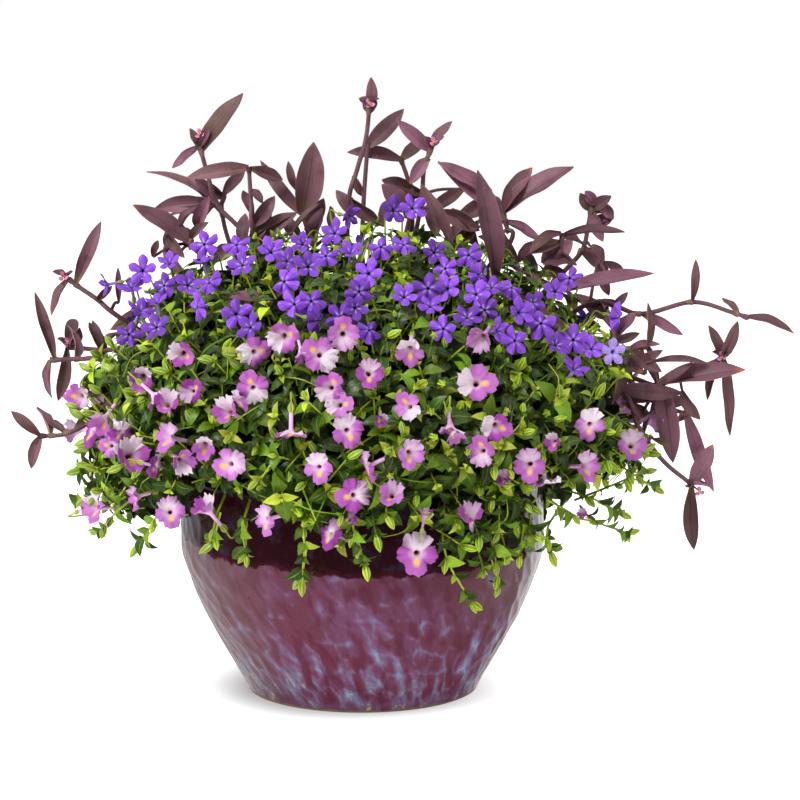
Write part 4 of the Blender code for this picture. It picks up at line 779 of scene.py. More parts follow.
def flower_form(grid, funnel, squash, face):
    """A flower looking along +Z with its top to +Y: a funnel, then a face by turn and how far out."""
    def shape(across, along):
        turn = 360 * across
        side, up = sin(radians(turn)), cos(radians(turn))
        step = round(along * grid[1])
        if step < len(funnel):
            radius, depth = funnel[step]
            return (side * radius, up * radius * (squash if up > 0 else 1.0), depth)
        out = (step - len(funnel) + 1) / (grid[1] - len(funnel) + 1)
        radius, depth = face(turn, out)
        return (side * radius, up * radius, depth)
    return model_form(*grid, shape, PETAL_WALL)


def wishbone_form(variant):
    """A wishbone flower one unit high, with its pale upper lip at the top."""
    wave = 1.7 * variant
    width, lean, ruffle = WISHBONE_OPENING[variant]
    throat, start = WISHBONE_FUNNEL[-1]

    def waves(count, turn, phase):
        return sin(radians(count * turn) + phase)

    def face(turn, out):
        reach = 0.31
        up = cos(radians(turn))
        for middle, half, far in WISHBONE_LOBES:
            away = abs((turn - middle + 180) % 360 - 180) / half
            if away < 1:
                reach = max(reach, far * (1 - away ** 3.2) ** 0.45)
        tooth = 0.018 * waves(14, turn, wave) + 0.015 * waves(23, turn, 2 * wave)
        tooth *= 1.45 if up > 0.3 else 0.8
        radius = throat + (reach * width + tooth * out ** 3 - throat) * out
        depth = start + 0.09 * out ** 0.6 + lean * out
        depth += ruffle * out * out * waves(6, turn, wave) + 1.3 * tooth * out ** 2
        if up > 0.3:
            depth -= 0.15 * (up - 0.2) * out * out
        elif up < -0.5:
            depth += 0.13 * (-up - 0.4) * out - 0.12 * out ** 3
        else:
            depth += 0.07 * out - 0.11 * out ** 3
        return radius, depth
    return flower_form(WISHBONE_GRID, WISHBONE_FUNNEL, 0.85, face)


def star_form(variant):
    """A star flower one unit wide, with one of its five petals at the top."""
    width, lean = STAR_OPENING[variant]
    throat = STAR_FUNNEL[-1][0]

    def face(turn, out):
        away = abs((turn + 36) % 72 - 36) / 36
        petal = 0.485 * (1 - 0.07 * away - 0.5 * away ** 3.6) + 0.03 * max(0.0, 1 - away * 3.0)
        uneven = 0.022 * sin(2 * radians(turn) + 1.3 * variant)
        depth = lean * out + 0.08 * out * (1 - away) ** 2 - 0.06 * out * away - 0.07 * out ** 3
        depth += 0.025 * out * sin(3 * radians(turn) + variant)
        return throat + (petal * width + uneven - throat) * out, depth
    return flower_form(STAR_GRID, STAR_FUNNEL, 1.0, face)


def calyx_form():
    """A winged calyx one unit long with five ribs, its tip to +Y."""
    def shape(across, along):
        radius, rise = CALYX[round(along * (len(CALYX) - 1))]
        rib = 1.24 if round(across * 2 * CALYX_RIBS) % 2 else 0.8
        turn = 2 * pi * across
        return (radius * rib * sin(turn), rise, radius * rib * cos(turn))
    return model_form(2 * CALYX_RIBS, len(CALYX) - 1, shape)


def heart_form():
    """A sheet one unit wide and long, closed by a thin wall: purple heart's leaves are bent from it."""
    return model_form(6, 16, lambda across, along: (across - 0.5, along, 0.0), 0.02)


def small_petal():
    def shape(across, along):
        half = 0.42 * sin(pi * min(1.0, along * 0.86 + 0.03)) ** 0.7
        return ((across - 0.5) * 2 * half, along, 0.25 * along * along - 0.3 * (across - 0.5) ** 2)
    return model_form(4, 4, shape, 0.05)


def crumb_form():
    clear_selection()
    bpy.ops.mesh.primitive_ico_sphere_add(subdivisions=1, radius=0.5)
    obj = bpy.context.active_object
    for corner in obj.data.vertices:
        corner.co *= 1 + 0.25 * sin(11 * corner.co.x + 7 * corner.co.y + 5 * corner.co.z)
    return Form(obj)


# Finishes

class Signal:
    """What runs from one node to the next, with plain arithmetic."""

    def __init__(self, nodes, socket):
        self.nodes, self.socket = nodes, socket

    def __add__(self, other):
        return self.nodes.calc("ADD", self, other)

    def __sub__(self, other):
        return self.nodes.calc("SUBTRACT", self, other)

    def __rsub__(self, other):
        return self.nodes.calc("SUBTRACT", other, self)

    def __mul__(self, other):
        return self.nodes.calc("MULTIPLY", self, other)

    __radd__, __rmul__ = __add__, __mul__


class Nodes:
    """A tree of nodes that is built up from signals, numbers and colours."""

    def __init__(self, tree):
        self.tree = tree

    def feed(self, socket, value):
        if isinstance(value, Signal):
            self.tree.links.new(value.socket, socket)
        else:
            socket.default_value = (*value, 1.0)[:4] if socket.type == "RGBA" else value

    def node(self, kind, fed, **own):
        """The outputs of a new node, from what feeds its sockets, by name or number, and its own settings."""
        made = self.tree.nodes.new(kind)
        for key, value in own.items():
            setattr(made, key, value)
        for key, value in fed.items():
            self.feed(made.inputs[key], value)
        return [Signal(self, socket) for socket in made.outputs]

    def calc(self, task, a, b=0.0, limit=False):
        return self.node("ShaderNodeMath", {0: a, 1: b}, operation=task, use_clamp=limit)[0]

    def rise(self, value, low, high, low_out=0.0, high_out=1.0):
        """A smooth step of a value between two limits."""
        fed = dict(enumerate((value, low, high, low_out, high_out)))
        return self.node("ShaderNodeMapRange", fed, interpolation_type="SMOOTHSTEP")[0]

    def noise(self, vector, scale, detail=3.0, rough=0.6, distortion=0.0):
        fed = {"Vector": vector, "Scale": scale, "Detail": detail, "Roughness": rough,
               "Distortion": distortion}
        return self.node("ShaderNodeTexNoise", fed)[0]

    def split(self, vector):
        return self.node("ShaderNodeSeparateXYZ", {0: vector})

    def join(self, x, y, z=0.0):
        return self.node("ShaderNodeCombineXYZ", {0: x, 1: y, 2: z})[0]

    def mix(self, factor, a, b):
        return self.node("ShaderNodeMix", {0: factor, 6: a, 7: b}, data_type="RGBA")[2]

    def over(self, base, tone, value, low, high, most=1.0):
        """A tone laid over the base where a value rises from low to high."""
        return self.mix(self.rise(value, low, high, 0.0, most), base, tone)

    def shade(self, tone, hue, saturation, value):
        fed = {"Hue": hue, "Saturation": saturation, "Value": value, "Color": tone}
        return self.node("ShaderNodeHueSaturation", fed)[0]


class Finish(Nodes):
    """A material with its nodes: `place` is the place on the object and `map` that on the piece's own map."""

    def __init__(self, name, roughness, specular=0.5):
        self.made = bpy.data.materials.new(name)
        self.made.use_nodes = True
        super().__init__(self.made.node_tree)
        self.shader = self.tree.nodes["Principled BSDF"].inputs
        self.shader["Roughness"].default_value = roughness
        self.shader["Specular IOR Level"].default_value = specular
        self.map, self.place = self.node("ShaderNodeTexCoord", {})[2:4]

    def tint(self):
        """The colour and the strength of the tint of each point."""
        return self.node("ShaderNodeVertexColor", {}, layer_name="tint")

    def bump(self, height, distance, strength):
        fed = {"Height": height, "Strength": strength, "Distance": distance}
        self.feed(self.shader["Normal"], self.node("ShaderNodeBump", fed)[0])

    def paint(self, tone, roughness=None):
        self.feed(self.shader["Base Color"], tone)
        if roughness is not None:
            self.feed(self.shader["Roughness"], roughness)
        return self.made


def glaze_finish(bowl):
    """A dark band that ends in drips, over plum whose hammered ridges turn lavender; pinholes, bare foot."""
    f = Finish("oxblood_glaze", 0.1)
    x, y, z = f.split(f.place)
    turn = f.calc("ARCTAN2", x, y * -1.0)
    front, right = f.calc("COSINE", turn), f.calc("SINE", turn)
    drip = f.noise(f.join(front, right), 6.0, 5.0, 0.62) - 0.5
    fine = f.noise(f.place, 75.0) - 0.5
    edge = bowl.band_height + 0.011 - front * 0.011 - right * 0.005 + drip * 0.02 + fine * 0.012
    above = z - edge
    ridge, hollow, _ = f.split(f.tint()[0])
    twist = turn + z * 1.7
    slant = f.join(f.calc("COSINE", twist) * 0.17, f.calc("SINE", twist) * 0.17, z * 0.58)
    streak = f.noise(slant, 72.0, 2.0, 0.45, 0.25)
    cloud = f.noise(slant, 22.0, 3.0, 0.55, 0.3)
    speck = f.noise(f.place, 620.0, 3.0, 0.75) - 0.5
    low = f.rise(z, 0.12, 0.0)
    amount = ridge * 0.12 + streak * 0.82 + cloud * 0.46 + low * 0.16 + speck * 0.34
    haze = f.calc("ADD", low * 0.08, f.rise(cloud, 0.42, 0.68, 0.0, 0.5), limit=True)
    body = f.mix(haze, bowl.body, bowl.haze)
    body = f.over(body, display(80, 32, 46), streak, 0.5, 0.34, 0.6)
    body = f.mix(f.rise(hollow, 0.4, 0.95, 0.0, 0.6) * low, body, display(108, 42, 62))
    body = f.over(body, bowl.haze, amount, 0.68, 0.9, 0.6)
    body = f.over(body, bowl.streaks, amount, 0.77, 1.01, 0.85)
    body = f.over(body, display(154, 168, 186), amount, 0.93, 1.12, 0.65)
    body = f.over(body, display(74, 30, 44), speck, 0.02, 0.14, 0.42)
    # Painted reflections: a pale haze laid into the colour towards the bowl's left and right sides stands in
    # for the bright room mirrored in the glaze.
    left_painted_reflection = f.rise(right, -0.35, -0.85, 0.0, 0.55) * f.rise(cloud, 0.3, 0.55, 0.4, 1.0)
    right_painted_reflection = f.rise(right, 0.4, 0.95, 0.0, 0.6) * f.rise(z, 0.05, 0.14)
    body = f.mix(left_painted_reflection + right_painted_reflection, body, display(104, 90, 88))
    body = f.over(body, bowl.haze, z + fine * 0.05, 0.014, 0.002, 0.5)
    gold = f.rise(f.noise(f.place, 300.0, 2.0, 0.5), 0.56, 0.66) * f.rise(amount, 0.84, 1.0)
    body = f.mix(gold * f.rise(z, 0.06, 0.0, 0.0, 0.9), body, display(188, 170, 96))
    dark = f.over(bowl.band, display(58, 56, 84), f.noise(f.place, 42.0, 4.0), 0.5, 0.74, 0.55)
    dark = f.mix(f.rise(above, 0.0, 0.008, 0.8, 0.0), dark, display(62, 14, 28))
    painted = f.over(body, dark, above, -0.0011, 0.0011)
    distance, cell = f.node("ShaderNodeTexVoronoi", {"Vector": f.place, "Scale": 85.0})[:2]
    hole = f.rise(distance, 0.1, 0.05) * f.calc("GREATER_THAN", f.split(cell)[0], 0.8)
    painted = f.mix(hole * 0.85, painted, display(20, 12, 14))
    rust = f.rise(z + fine * 0.004, 0.0028, 0.0014)
    painted = f.mix(rust, painted, bowl.foot)
    f.bump(f.noise(f.place, 110.0, 3.0, 0.5) - hole * 0.7, 0.0006, 0.6)
    return f.paint(painted, f.rise(rust, 0.0, 1.0, 0.1, 0.75) + f.rise(amount, 0.84, 1.0, 0.0, 0.08))


def earth_finish(bowl):
    """Dark clods with pale bits of bark."""
    f = Finish("potting_earth", 0.95, 0.2)
    clods = f.noise(f.place, 90.0, 5.0, 0.7)
    bits = f.noise(f.place, 420.0, 2.0)
    painted = f.over([c * 0.35 for c in bowl.earth], [c * 1.3 for c in bowl.earth], clods, 0.3, 0.7)
    painted = f.over(painted, display(150, 128, 96), bits, 0.66, 0.72, 0.8)
    f.bump(clods + bits * 0.3, 0.004, 0.9)
    return f.paint(painted)


def leaf_finish(name, plant, veins, margin):
    """Green from grown to new by the tint, with a pale midrib, side veins, a paler underside and mottling."""
    f = Finish(name, 0.36)
    young, tone_and_painted_shade, stalk = f.split(f.tint()[0])
    across, along, _ = f.split(f.map)
    off_rib = 1.0 - f.calc("PINGPONG", across * 4.0, 1.0)
    mottle = f.noise(f.place, 150.0)
    age = f.calc("ADD", young, (mottle - 0.5) * 0.35, limit=True)
    painted = f.over(plant.old_leaf, plant.grown_leaf, age, 0.0, 0.5)
    painted = f.over(painted, plant.new_leaf, age, 0.45, 1.0)
    comb = f.calc("PINGPONG", along * veins - off_rib * 1.3, 0.5)
    side = f.rise(comb, 0.07, 0.0) * f.rise(off_rib, 1.0, 0.6)
    lines = f.calc("MAXIMUM", f.rise(off_rib, 0.13, 0.02), side * 0.7) * (1.0 - stalk)
    pale = f.mix(0.5, painted, plant.new_leaf)
    painted = f.mix(lines * 0.62, painted, pale)
    painted = f.over(painted, pale, off_rib, 0.78, 0.98, margin)
    painted = f.mix(f.calc("GREATER_THAN", across, 0.5) * 0.3, painted, display(112, 140, 92))
    f.bump(mottle * 0.4 - lines, 0.0006, 0.7)
    # The tint's second part sets each leaf's lightness: a random tone, and painted shade for the leaves deep
    # in the mound.
    return f.paint(f.shade(painted, tone_and_painted_shade * 0.022 + 0.484, 1.06, tone_and_painted_shade * 0.82 + 0.34), mottle * 0.24 + 0.3)


def petal_finish(name, vein, lines, strength):
    """The petal's own tint, crossed by fine veins that run out from the throat, with a soft mottle."""
    f = Finish(name, 0.6, 0.12)
    tint, outer = f.tint()
    across, along, _ = f.split(f.map)
    mottle = f.noise(f.place, 260.0)
    sway = (f.noise(f.place, 120.0, 2.0, 0.55) - 0.5) * 0.9
    comb = f.calc("PINGPONG", across * lines + sway, 0.5)
    line = f.rise(comb, 0.2, 0.0) * f.rise(along, 1.0, 0.86) * outer * strength
    painted = f.mix(line, tint, vein)
    painted = f.over(painted, f.mix(0.5, painted, vein), mottle, 0.42, 0.62, 0.3)
    f.bump(mottle - line * 0.6, 0.0005, 0.5)
    return f.paint(painted)


def heart_finish(heart):
    """Dusky purple with a waxy bloom and fine long veins; pinker below, dried or fresh where tinted so."""
    f = Finish("purple_heart_leaf", 0.42, 0.28)
    tint, light = f.tint()
    below, dried, fresh = f.split(tint)
    across, along, _ = f.split(f.map)
    cloud = f.noise(f.place, 34.0, 4.0)
    grain = f.noise(f.join(across * 40.0, along * 2.0, cloud), 1.0, 2.0)
    painted = f.mix(below, heart.leaf_top, heart.leaf_under)
    olive = f.rise(f.noise(f.place, 15.0), 0.5, 0.66, 0.0, 0.55) * f.rise(below, 0.5, 0.0)
    painted = f.mix(olive, painted, display(92, 74, 50))
    painted = f.over(painted, heart.bloom, grain, 0.4, 0.66, 0.3)
    painted = f.over(painted, heart.bloom, cloud, 0.54, 0.74, 0.35)
    painted = f.over(painted, heart.shadow, cloud, 0.5, 0.28, 0.6)
    painted = f.over(painted, heart.shadow, f.calc("PINGPONG", across - 0.5, 0.5), 0.035, 0.0, 0.55)
    painted = f.over(painted, display(146, 82, 104), f.calc("PINGPONG", across, 0.5), 0.06, 0.0, 0.5)
    painted = f.mix(fresh, painted, heart.fresh)
    painted = f.mix(dried, painted, heart.dried)
    f.bump(grain + cloud * 0.5, 0.0004, 0.8)
    # The tint's strength sets each leaf's lightness, with the painted shade from one half of the leaf to the
    # other.
    return f.paint(f.shade(painted, 0.5, 1.0, light), cloud * 0.28 + 0.3)


def own_tint_finish(name, roughness):
    """A surface that wears the tint of its points, softly mottled."""
    f = Finish(name, roughness, 0.35)
    mottle = f.noise(f.place, 210.0)
    f.bump(mottle, 0.0004, 0.5)
    return f.paint(f.over(f.tint()[0], (0.02, 0.03, 0.01), mottle, 0.3, 0.7, 0.3))


def inner_shade_finish():
    """Painted shade: near black, with dim green streaks."""
    f = Finish("inner_shade", 0.9, 0.1)
    x, y, z = f.split(f.place)
    streaks = f.noise(f.join(x, y, z * 0.4), 160.0, 4.0, 0.7)
    f.bump(streaks, 0.006, 1.0)
    return f.paint(f.over(display(4, 7, 3), display(26, 40, 16), streaks, 0.42, 0.66))


def floor_finish(glow):
    """Pale floor that glows a little, but for the shade that hugs the bowl's foot at its left and front."""
    f = Finish("studio_floor", 0.9, 0.1)
    x, y, z = f.split(f.place)
    away = f.node("ShaderNodeVectorMath", {0: f.join(x + 0.022, y + 0.018, z)}, operation="LENGTH")[1]
    lit = f.rise(away, 0.06, 0.19, 0.12, 1.0)
    f.feed(f.shader["Emission Color"], f.join(lit, lit, lit))
    f.shader["Emission Strength"].default_value = glow
    grain = f.noise(f.place, 3.0, 2.0, 0.5)
    return f.paint(f.mix(lit, (0.2, 0.2, 0.2), f.mix(grain, (0.9, 0.9, 0.9), (0.93, 0.93, 0.93))))


# The bowl and its filling

def wall_points(profile, step):
    """The profile with points added so that none are further apart than the step."""
    dense = []
    for (r0, z0), (r1, z1) in zip(profile, profile[1:]):
        count = max(1, round(hypot(r1 - r0, z1 - z0) / step))
        dense += [(r0 + (r1 - r0) * k / count, z0 + (z1 - z0) * k / count) for k in range(count)]
    return dense + [profile[-1]]


def bowl_rings():
    """The bowl's rings from its foot up the outside, over the lip and down to the floor inside."""
    side = [(p.x, p.y) for p in smooth_route([Vector((r, z, 0.0)) for r, z in BOWL_OUTSIDE], 4)]
    lip = [(BOWL_OUTSIDE[-1][0] + out, BOWL_RIM - drop) for out, drop in BOWL_LIP]
    inner = [(r - BOWL_WALL, z) for r, z in reversed(BOWL_OUTSIDE) if BOWL_FLOOR < z < SOIL_HEIGHT]
    inner.append((BOWL_FLOOR_RADIUS, BOWL_FLOOR))
    return wall_points(side + lip, RING_STEP) + wall_points(lip[-1:] + inner, INSIDE_STEP)[1:]


def close_ring(height, *ratios):
    """Draws the selected ring in by each ratio in turn, and closes it in its middle."""
    for ratio in ratios:
        bpy.ops.mesh.extrude_region_move(TRANSFORM_OT_translate={"value": (0, 0, 0)})
        bpy.ops.transform.resize(value=(ratio, ratio, 1.0), center_override=(0, 0, height))
    bpy.ops.mesh.merge(type="CENTER")


class PLANTED_BOWL_OT_bowl(bpy.types.Operator):
    """Add the glazed bowl with its hammered side"""

    bl_idname = "planted_bowl.bowl"
    bl_label = "Glazed Bowl"

    def execute(self, context):
        bowl = settings("bowl")
        rings = bowl_rings()
        clear_selection()
        bpy.ops.mesh.primitive_circle_add(vertices=BOWL_SEGMENTS, radius=rings[0][0], fill_type="NOTHING")
        obj = context.active_object
        obj.name = "glazed_bowl"
        edit_all()
        extrude_rings(rings)
        close_ring(rings[-1][1], 0.02)
        bpy.ops.object.mode_set(mode="OBJECT")
        for corner in obj.data.vertices:
            corner.select = abs(corner.co.z) < 1e-5
        bpy.ops.object.mode_set(mode="EDIT")
        close_ring(0, 0.96, 0.02)
        edit_all()
        bpy.ops.mesh.remove_doubles(threshold=1e-6)
        bpy.ops.mesh.normals_make_consistent(inside=False)
        bpy.ops.mesh.subdivide(number_cuts=1)
        bpy.ops.object.mode_set(mode="OBJECT")
        self.hammer(obj.data, bowl.dimple_depth)
        bpy.ops.object.shade_smooth_by_angle(angle=radians(40))
        place_piece(obj, glaze_finish(bowl), ["pot"])
        return {"FINISHED"}

    def hammer(self, mesh, depth):
        """Presses a dish into the side round each dimple, and notes where the ridges between them run."""
        cells = self.dimples()
        points, normals = read(mesh.vertices, "co", 3), read(mesh.vertices, "normal", 3)
        tints = np.zeros((len(points), 4))
        for k, (x, y, z) in enumerate(points.tolist()):
            radius = hypot(x, y)
            if radius < FOOT_INSIDE or normals[k, 0] * x + normals[k, 1] * y <= 0:
                continue
            spot = (atan2(x, -y) * DIMPLE_RADIUS + z * DIMPLE_LEAN, z * DIMPLE_STRETCH, 0.0)
            near, second = (found[2] for found in cells.find_n(spot, 2))
            ridge = max(0.0, 1 - (second - near) / RIDGE_WIDTH)
            hollow = max(0.0, 1 - (near / DIMPLE_REACH) ** 2)
            fade = min(1.0, z / FADE_FOOT, max(0.0, (FADE_TOP - z) / FADE_RIM))
            points[k, :2] *= 1 - depth * fade * (hollow - 0.35 * ridge) / radius
            tints[k, :2] = ridge * fade, hollow
        mesh.vertices.foreach_set("co", points.ravel())
        add_tint(mesh, tints)
        mesh.update()

    def dimples(self):
        """The middles of the dimples, scattered over the side laid flat, which leans and is stretched."""
        draw = Draw(8)
        gap = 2 * pi * DIMPLE_RADIUS / DIMPLES_AROUND
        rows = round(BOWL_RIM * DIMPLE_STRETCH / gap) + 2
        cells = KDTree(DIMPLES_AROUND * 3 * rows)
        for row in range(rows):
            for k in range(DIMPLES_AROUND):
                across = (k + 0.5 * (row % 2) + draw(-0.38, 0.38)) * gap
                rise = (row - 0.5 + draw(-0.36, 0.36)) * gap
                for lap in (-1, 0, 1):
                    cells.insert((across + lap * DIMPLES_AROUND * gap, rise, 0.0), k)
        cells.balance()
        return cells


class PLANTED_BOWL_OT_potting_mix(bpy.types.Operator):
    """Add the potting mix with its crumbs"""

    bl_idname = "planted_bowl.potting_mix"
    bl_label = "Potting Mix"

    def execute(self, context):
        walls = [(r - BOWL_WALL - SOIL_GAP, z) for r, z in BOWL_OUTSIDE
                 if BOWL_FLOOR < z < SOIL_HEIGHT - 0.003]
        radius = walls[-1][0]
        clear_selection()
        bpy.ops.mesh.primitive_circle_add(vertices=SOIL_SEGMENTS, radius=walls[0][0], fill_type="NGON")
        obj = context.active_object
        obj.name = "earth"
        for corner in obj.data.vertices:
            corner.co.z = walls[0][1]
        edit_all()
        extrude_rings(walls + [(radius * k / SOIL_RINGS, SOIL_HEIGHT) for k in range(SOIL_RINGS, 0, -1)])
        edit_all()
        bpy.ops.mesh.normals_make_consistent(inside=False)
        bpy.ops.object.mode_set(mode="OBJECT")
        top = [v.index for v in obj.data.vertices
               if v.co.z > SOIL_HEIGHT - 1e-4 and hypot(v.co.x, v.co.y) < radius - 0.002]
        group = obj.vertex_groups.new(name="top")
        group.add(top, 1.0, "REPLACE")
        roughen(obj, 0.012, 0.006, group.name)
        bpy.ops.object.shade_smooth_by_angle(angle=radians(60))
        finish = earth_finish(settings("bowl"))
        place_piece(obj, finish, ["potting_mix"])
        self.scatter_crumbs(radius, finish)
        return {"FINISHED"}

    def scatter_crumbs(self, radius, finish):
        draw = Draw(1)
        crumbs, crumb = Gather(), crumb_form()
        for _ in range(CRUMBS):
            turn, reach = draw(0, 2 * pi), radius * sqrt(draw(0.02, 0.94))
            place = (reach * cos(turn), reach * sin(turn), SOIL_HEIGHT + 0.0005)
            size = draw(0.0015, 0.0052)
            lean = turn_to(wander(draw, -0.3, 0.3), (0, 0, 1))
            crumbs.add(crumb, place, lean, size * np.array([1.0, draw(0.8, 1.8), 0.7]), (1, 1, 1, 1))
        crumbs.make("earth_crumbs", finish, "potting_earth", [])


# Purple heart

def shoots():
    """Every shoot's name, foot, rise, stem, leaves and side leaves, in the order in which they stand."""
    for k, (name, shown) in enumerate(sorted(SHOOTS.items(), key=lambda item: item[1][0][0][0])):
        turn = radians(ROOT_ARC[0] + (ROOT_ARC[1] - ROOT_ARC[0]) * k / (len(SHOOTS) - 1))
        radius = ROOT_RADII[k % 2]
        yield name, radius * cos(turn), radius * sin(turn), SHOOT_RISE, *shown
    for name, (x, y, *shown) in LANE_SHOOTS.items():
        yield name, x, y, LANE_RISE, *shown


def lance_width(along):
    """The width of a purple heart leaf at places along it, as a share of its widest."""
    spots = np.linspace(0, 1, 101)
    shares = 0.42 + 0.58 * np.sin(np.pi / 2 * np.minimum(1.0, spots / 0.36))
    shares *= 1 - np.maximum(0.0, (spots - 0.36) / 0.645) ** 2.5
    return np.interp(along, spots, shares)


def leaf_up(base, tip, side):
    """The upper side of a purple heart leaf: up and to the front, and to one side."""
    if abs((tip - base).normalized().z) > 0.8:
        return Vector((0.35 * side, -0.9, 0.2))
    return Vector((0.2 * side, -0.85, 0.55))


def distance_to(points, place):
    return float(np.sqrt(((points - np.array(place)) ** 2).sum(axis=1).min()))


def fitted_route(foot, rise, visible, solid):
    """The stem's route, set back as its solid is."""
    seen = [at_depth(px, py, behind / 1000) for px, py, behind in visible]
    best = None
    for back in range(STEM_TRIES):
        shift = Vector((0, STEM_SETBACK * back, 0))
        bend = [foot, Vector((foot.x, foot.y, rise))]
        inner = bend[-1].lerp(seen[0] + shift, 0.5) + Vector((0, 0.3 * shift.y + 0.004, 0.008))
        route = bend + [inner] + [point + shift * (0.35 if k else 1.0) for k, point in enumerate(seen)]
        off = sum(distance_to(solid, point) for point in route[2:])
        if best is None or off < best[0] - 1e-6:
            best = (off, route)
    return best[1]


def fitted_tip(base, px, py, behind, solid):
    """The leaf's tip at the depth where its solid has it."""
    best = None
    for attempt in range(LEAF_TRIES):
        swing = LEAF_SWING * ((attempt + 1) // 2) * (1 if attempt % 2 else -1)
        tip = at_depth(px, py, base.y + behind / 1000 + swing)
        off = distance_to(solid, tip)
        if best is None or off < best[0] - 1e-4:
            best = (off, tip)
    return best[1]


class Shoot(Gather):
    """One shoot of purple heart, whose leaves are bent out of one flat form."""

    def __init__(self, form, thickness, route):
        super().__init__()
        self.form, self.thickness, self.route = form, thickness, route
        self.stem = smooth_route(route, 6)
        self.sweep(self.stem, [STEM_RADIUS, STEM_RADIUS * STEM_TAPER], 8, (0.25, 0, 0, 1))

    def bend(self, base, tip, width, up, draw):
        """The points of a leaf from base to tip, channelled, arched and swaying to one side."""
        arch, fold = draw(0.02, 0.09), draw(0.3, 0.8)
        sway, wave = draw(-0.045, 0.045), draw(0, 6)
        base, tip = np.array(base), np.array(tip)
        size = np.linalg.norm(tip - base)
        across, along, depth = self.form.points.T
        half = across * lance_width(along) * width
        channel = fold * (1.5 - 1.1 * along)
        x = half * np.cos(channel * np.abs(across * 2)) + sway * size * np.sin(np.pi * along)
        z = np.abs(half) * np.sin(channel) + arch * size * np.sin(np.pi * along)
        z += 0.03 * width * np.sin(14 * along + wave) * np.abs(across * 2)
        z -= np.where(depth < -0.01, self.thickness, 0.0)
        return np.stack([x, along * size, z], axis=-1) @ turn_to(tip - base, up).T + base

    def leaf(self, base, tip, width, up, draw, marks=0):
        """A leaf rolled a little about its length, tinted by its side, its marks, its own lightness and a
        painted shade across it.
        """
        form, pink, dried = self.form, marks & PINK, marks & DRIED
        roll = radians(draw(-LEAF_ROLL, LEAF_ROLL))
        up = Matrix.Rotation(roll, 3, tip - base) @ up
        points = self.bend(base, tip, width * 1.16 / cos(roll), up, draw)
        across, along, depth = form.points.T
        lift = draw(0.75, 1.0) if pink else draw.choice([0.0, 0.05, 0.15, 0.3, 0.5])
        tints = np.ones((len(points), 4))
        tints[:, 0] = np.clip(lift + (depth < -0.01) * 0.8, 0, 1)
        tints[:, 1] = np.clip((along - (0.88 if dried else 0.955)) / 0.1, 0, 1) * (1.0 if dried else 0.8)
        tints[:, 2] = np.clip(1 - along / 0.2, 0, 1) * draw.choice([0.0, 0.0, 0.25, 0.7])
        tints[:, 3] = draw(0.95, 1.2) if pink else draw(0.78, 1.25)
        # Painted shade: one half of the leaf is darker and the other lighter, as light would fall on a
        # channelled leaf.
        tints[:, 3] *= 1 + draw(-0.65, 0.65) * across
        self.put(points, form.corners, form.counts, form.maps, tints)

    def sheath(self, base, draw):
        """A short sleeve round the stem where a leaf grips it."""
        stem = self.stem
        spot = min(range(1, len(stem) - 1), key=lambda k: (stem[k] - base).length)
        way = (stem[spot + 1] - stem[spot - 1]).normalized()
        ends = [base + way * step for step in (-0.007, -0.003, 0.001)]
        self.sweep(ends, [0.0021, 0.003, 0.0034], 8, (0.5, 0, draw.choice([0, 0, 0.3]), 1))

    def side_leaf(self, draw, px, py, tip_x, tip_y, width, behind, pink=0):
        """A smaller leaf, on a side stem where it stands away from the stem."""
        root = nearest_on(self.route, px, py)
        base = at_depth(px, py, root.y)
        if (base - root).length > 0.003:
            middle = root.lerp(base, 0.5) + Vector((0, 0, 0.004))
            self.sweep(smooth_route([root, middle, base], 4), [0.0019, 0.0015], 6, (0.3, 0, 0, 1))
        tip = at_depth(tip_x, tip_y, base.y + behind / 1000)
        up = leaf_up(base, tip, draw.choice([-1, 1]))
        dried = DRIED if draw.random() < 0.12 else 0
        self.leaf(base, tip, width / 1000, up, draw, pink + dried)

    def low_leaves(self, draw):
        """Leaves low on a stem at the back, where the mound hides them from the front."""
        low, high = LOW_STRETCH
        for base in draw.sample([point for point in self.stem if low < point.z < high], LOW_LEAVES):
            turn = radians(draw(35, 145))
            way = Vector((cos(turn), sin(turn) * 0.8, draw(0.1, 0.9))).normalized()
            tip = base + way * draw(0.04, 0.06)
            self.leaf(base, tip, draw(0.011, 0.015), Vector((0, 0.5, 1)), draw)
            self.sheath(base, draw)

    def flower(self, blooms, petal, px, py, pink, draw):
        """Two boat-shaped bracts, with a small three-petalled flower between them."""
        root = nearest_on(self.route, px, py)
        place = at_depth(px, py, root.y - 0.004)
        for side in (-1, 1):
            tip = place + Vector((0.01 * side, -0.002, 0.006))
            self.leaf(root, tip, 0.009, Vector((0.3 * side, -0.5, 0.8)), draw)
        look = (EYE - place).normalized() + Vector((draw(-.4, .4), 0, 0.35))
        self.sweep([root, place], [0.0011, 0.0009], 6, (0.6, 0, 0.2, 1))
        turn = turn_to(np.cross(look, (0.2, 0, 1)), look)
        for k in range(3):
            spin = 2 * pi * k / 3 + 0.5
            way = turn @ (cos(spin), sin(spin), 0.25)
            tone = (*[c * draw(0.9, 1.05) for c in pink], 1)
            blooms.add(petal, place, turn_to(way, look), 0.0058, tone)
        for k in range(5):
            spin = 2 * pi * k / 5
            tip = place + Vector(turn @ (cos(spin) * 0.5, sin(spin) * 0.5, 1.0)) * 0.003
            blooms.sweep([place, tip], [0.00025, 0.00055], 5, (*display(246, 206, 60), 1))


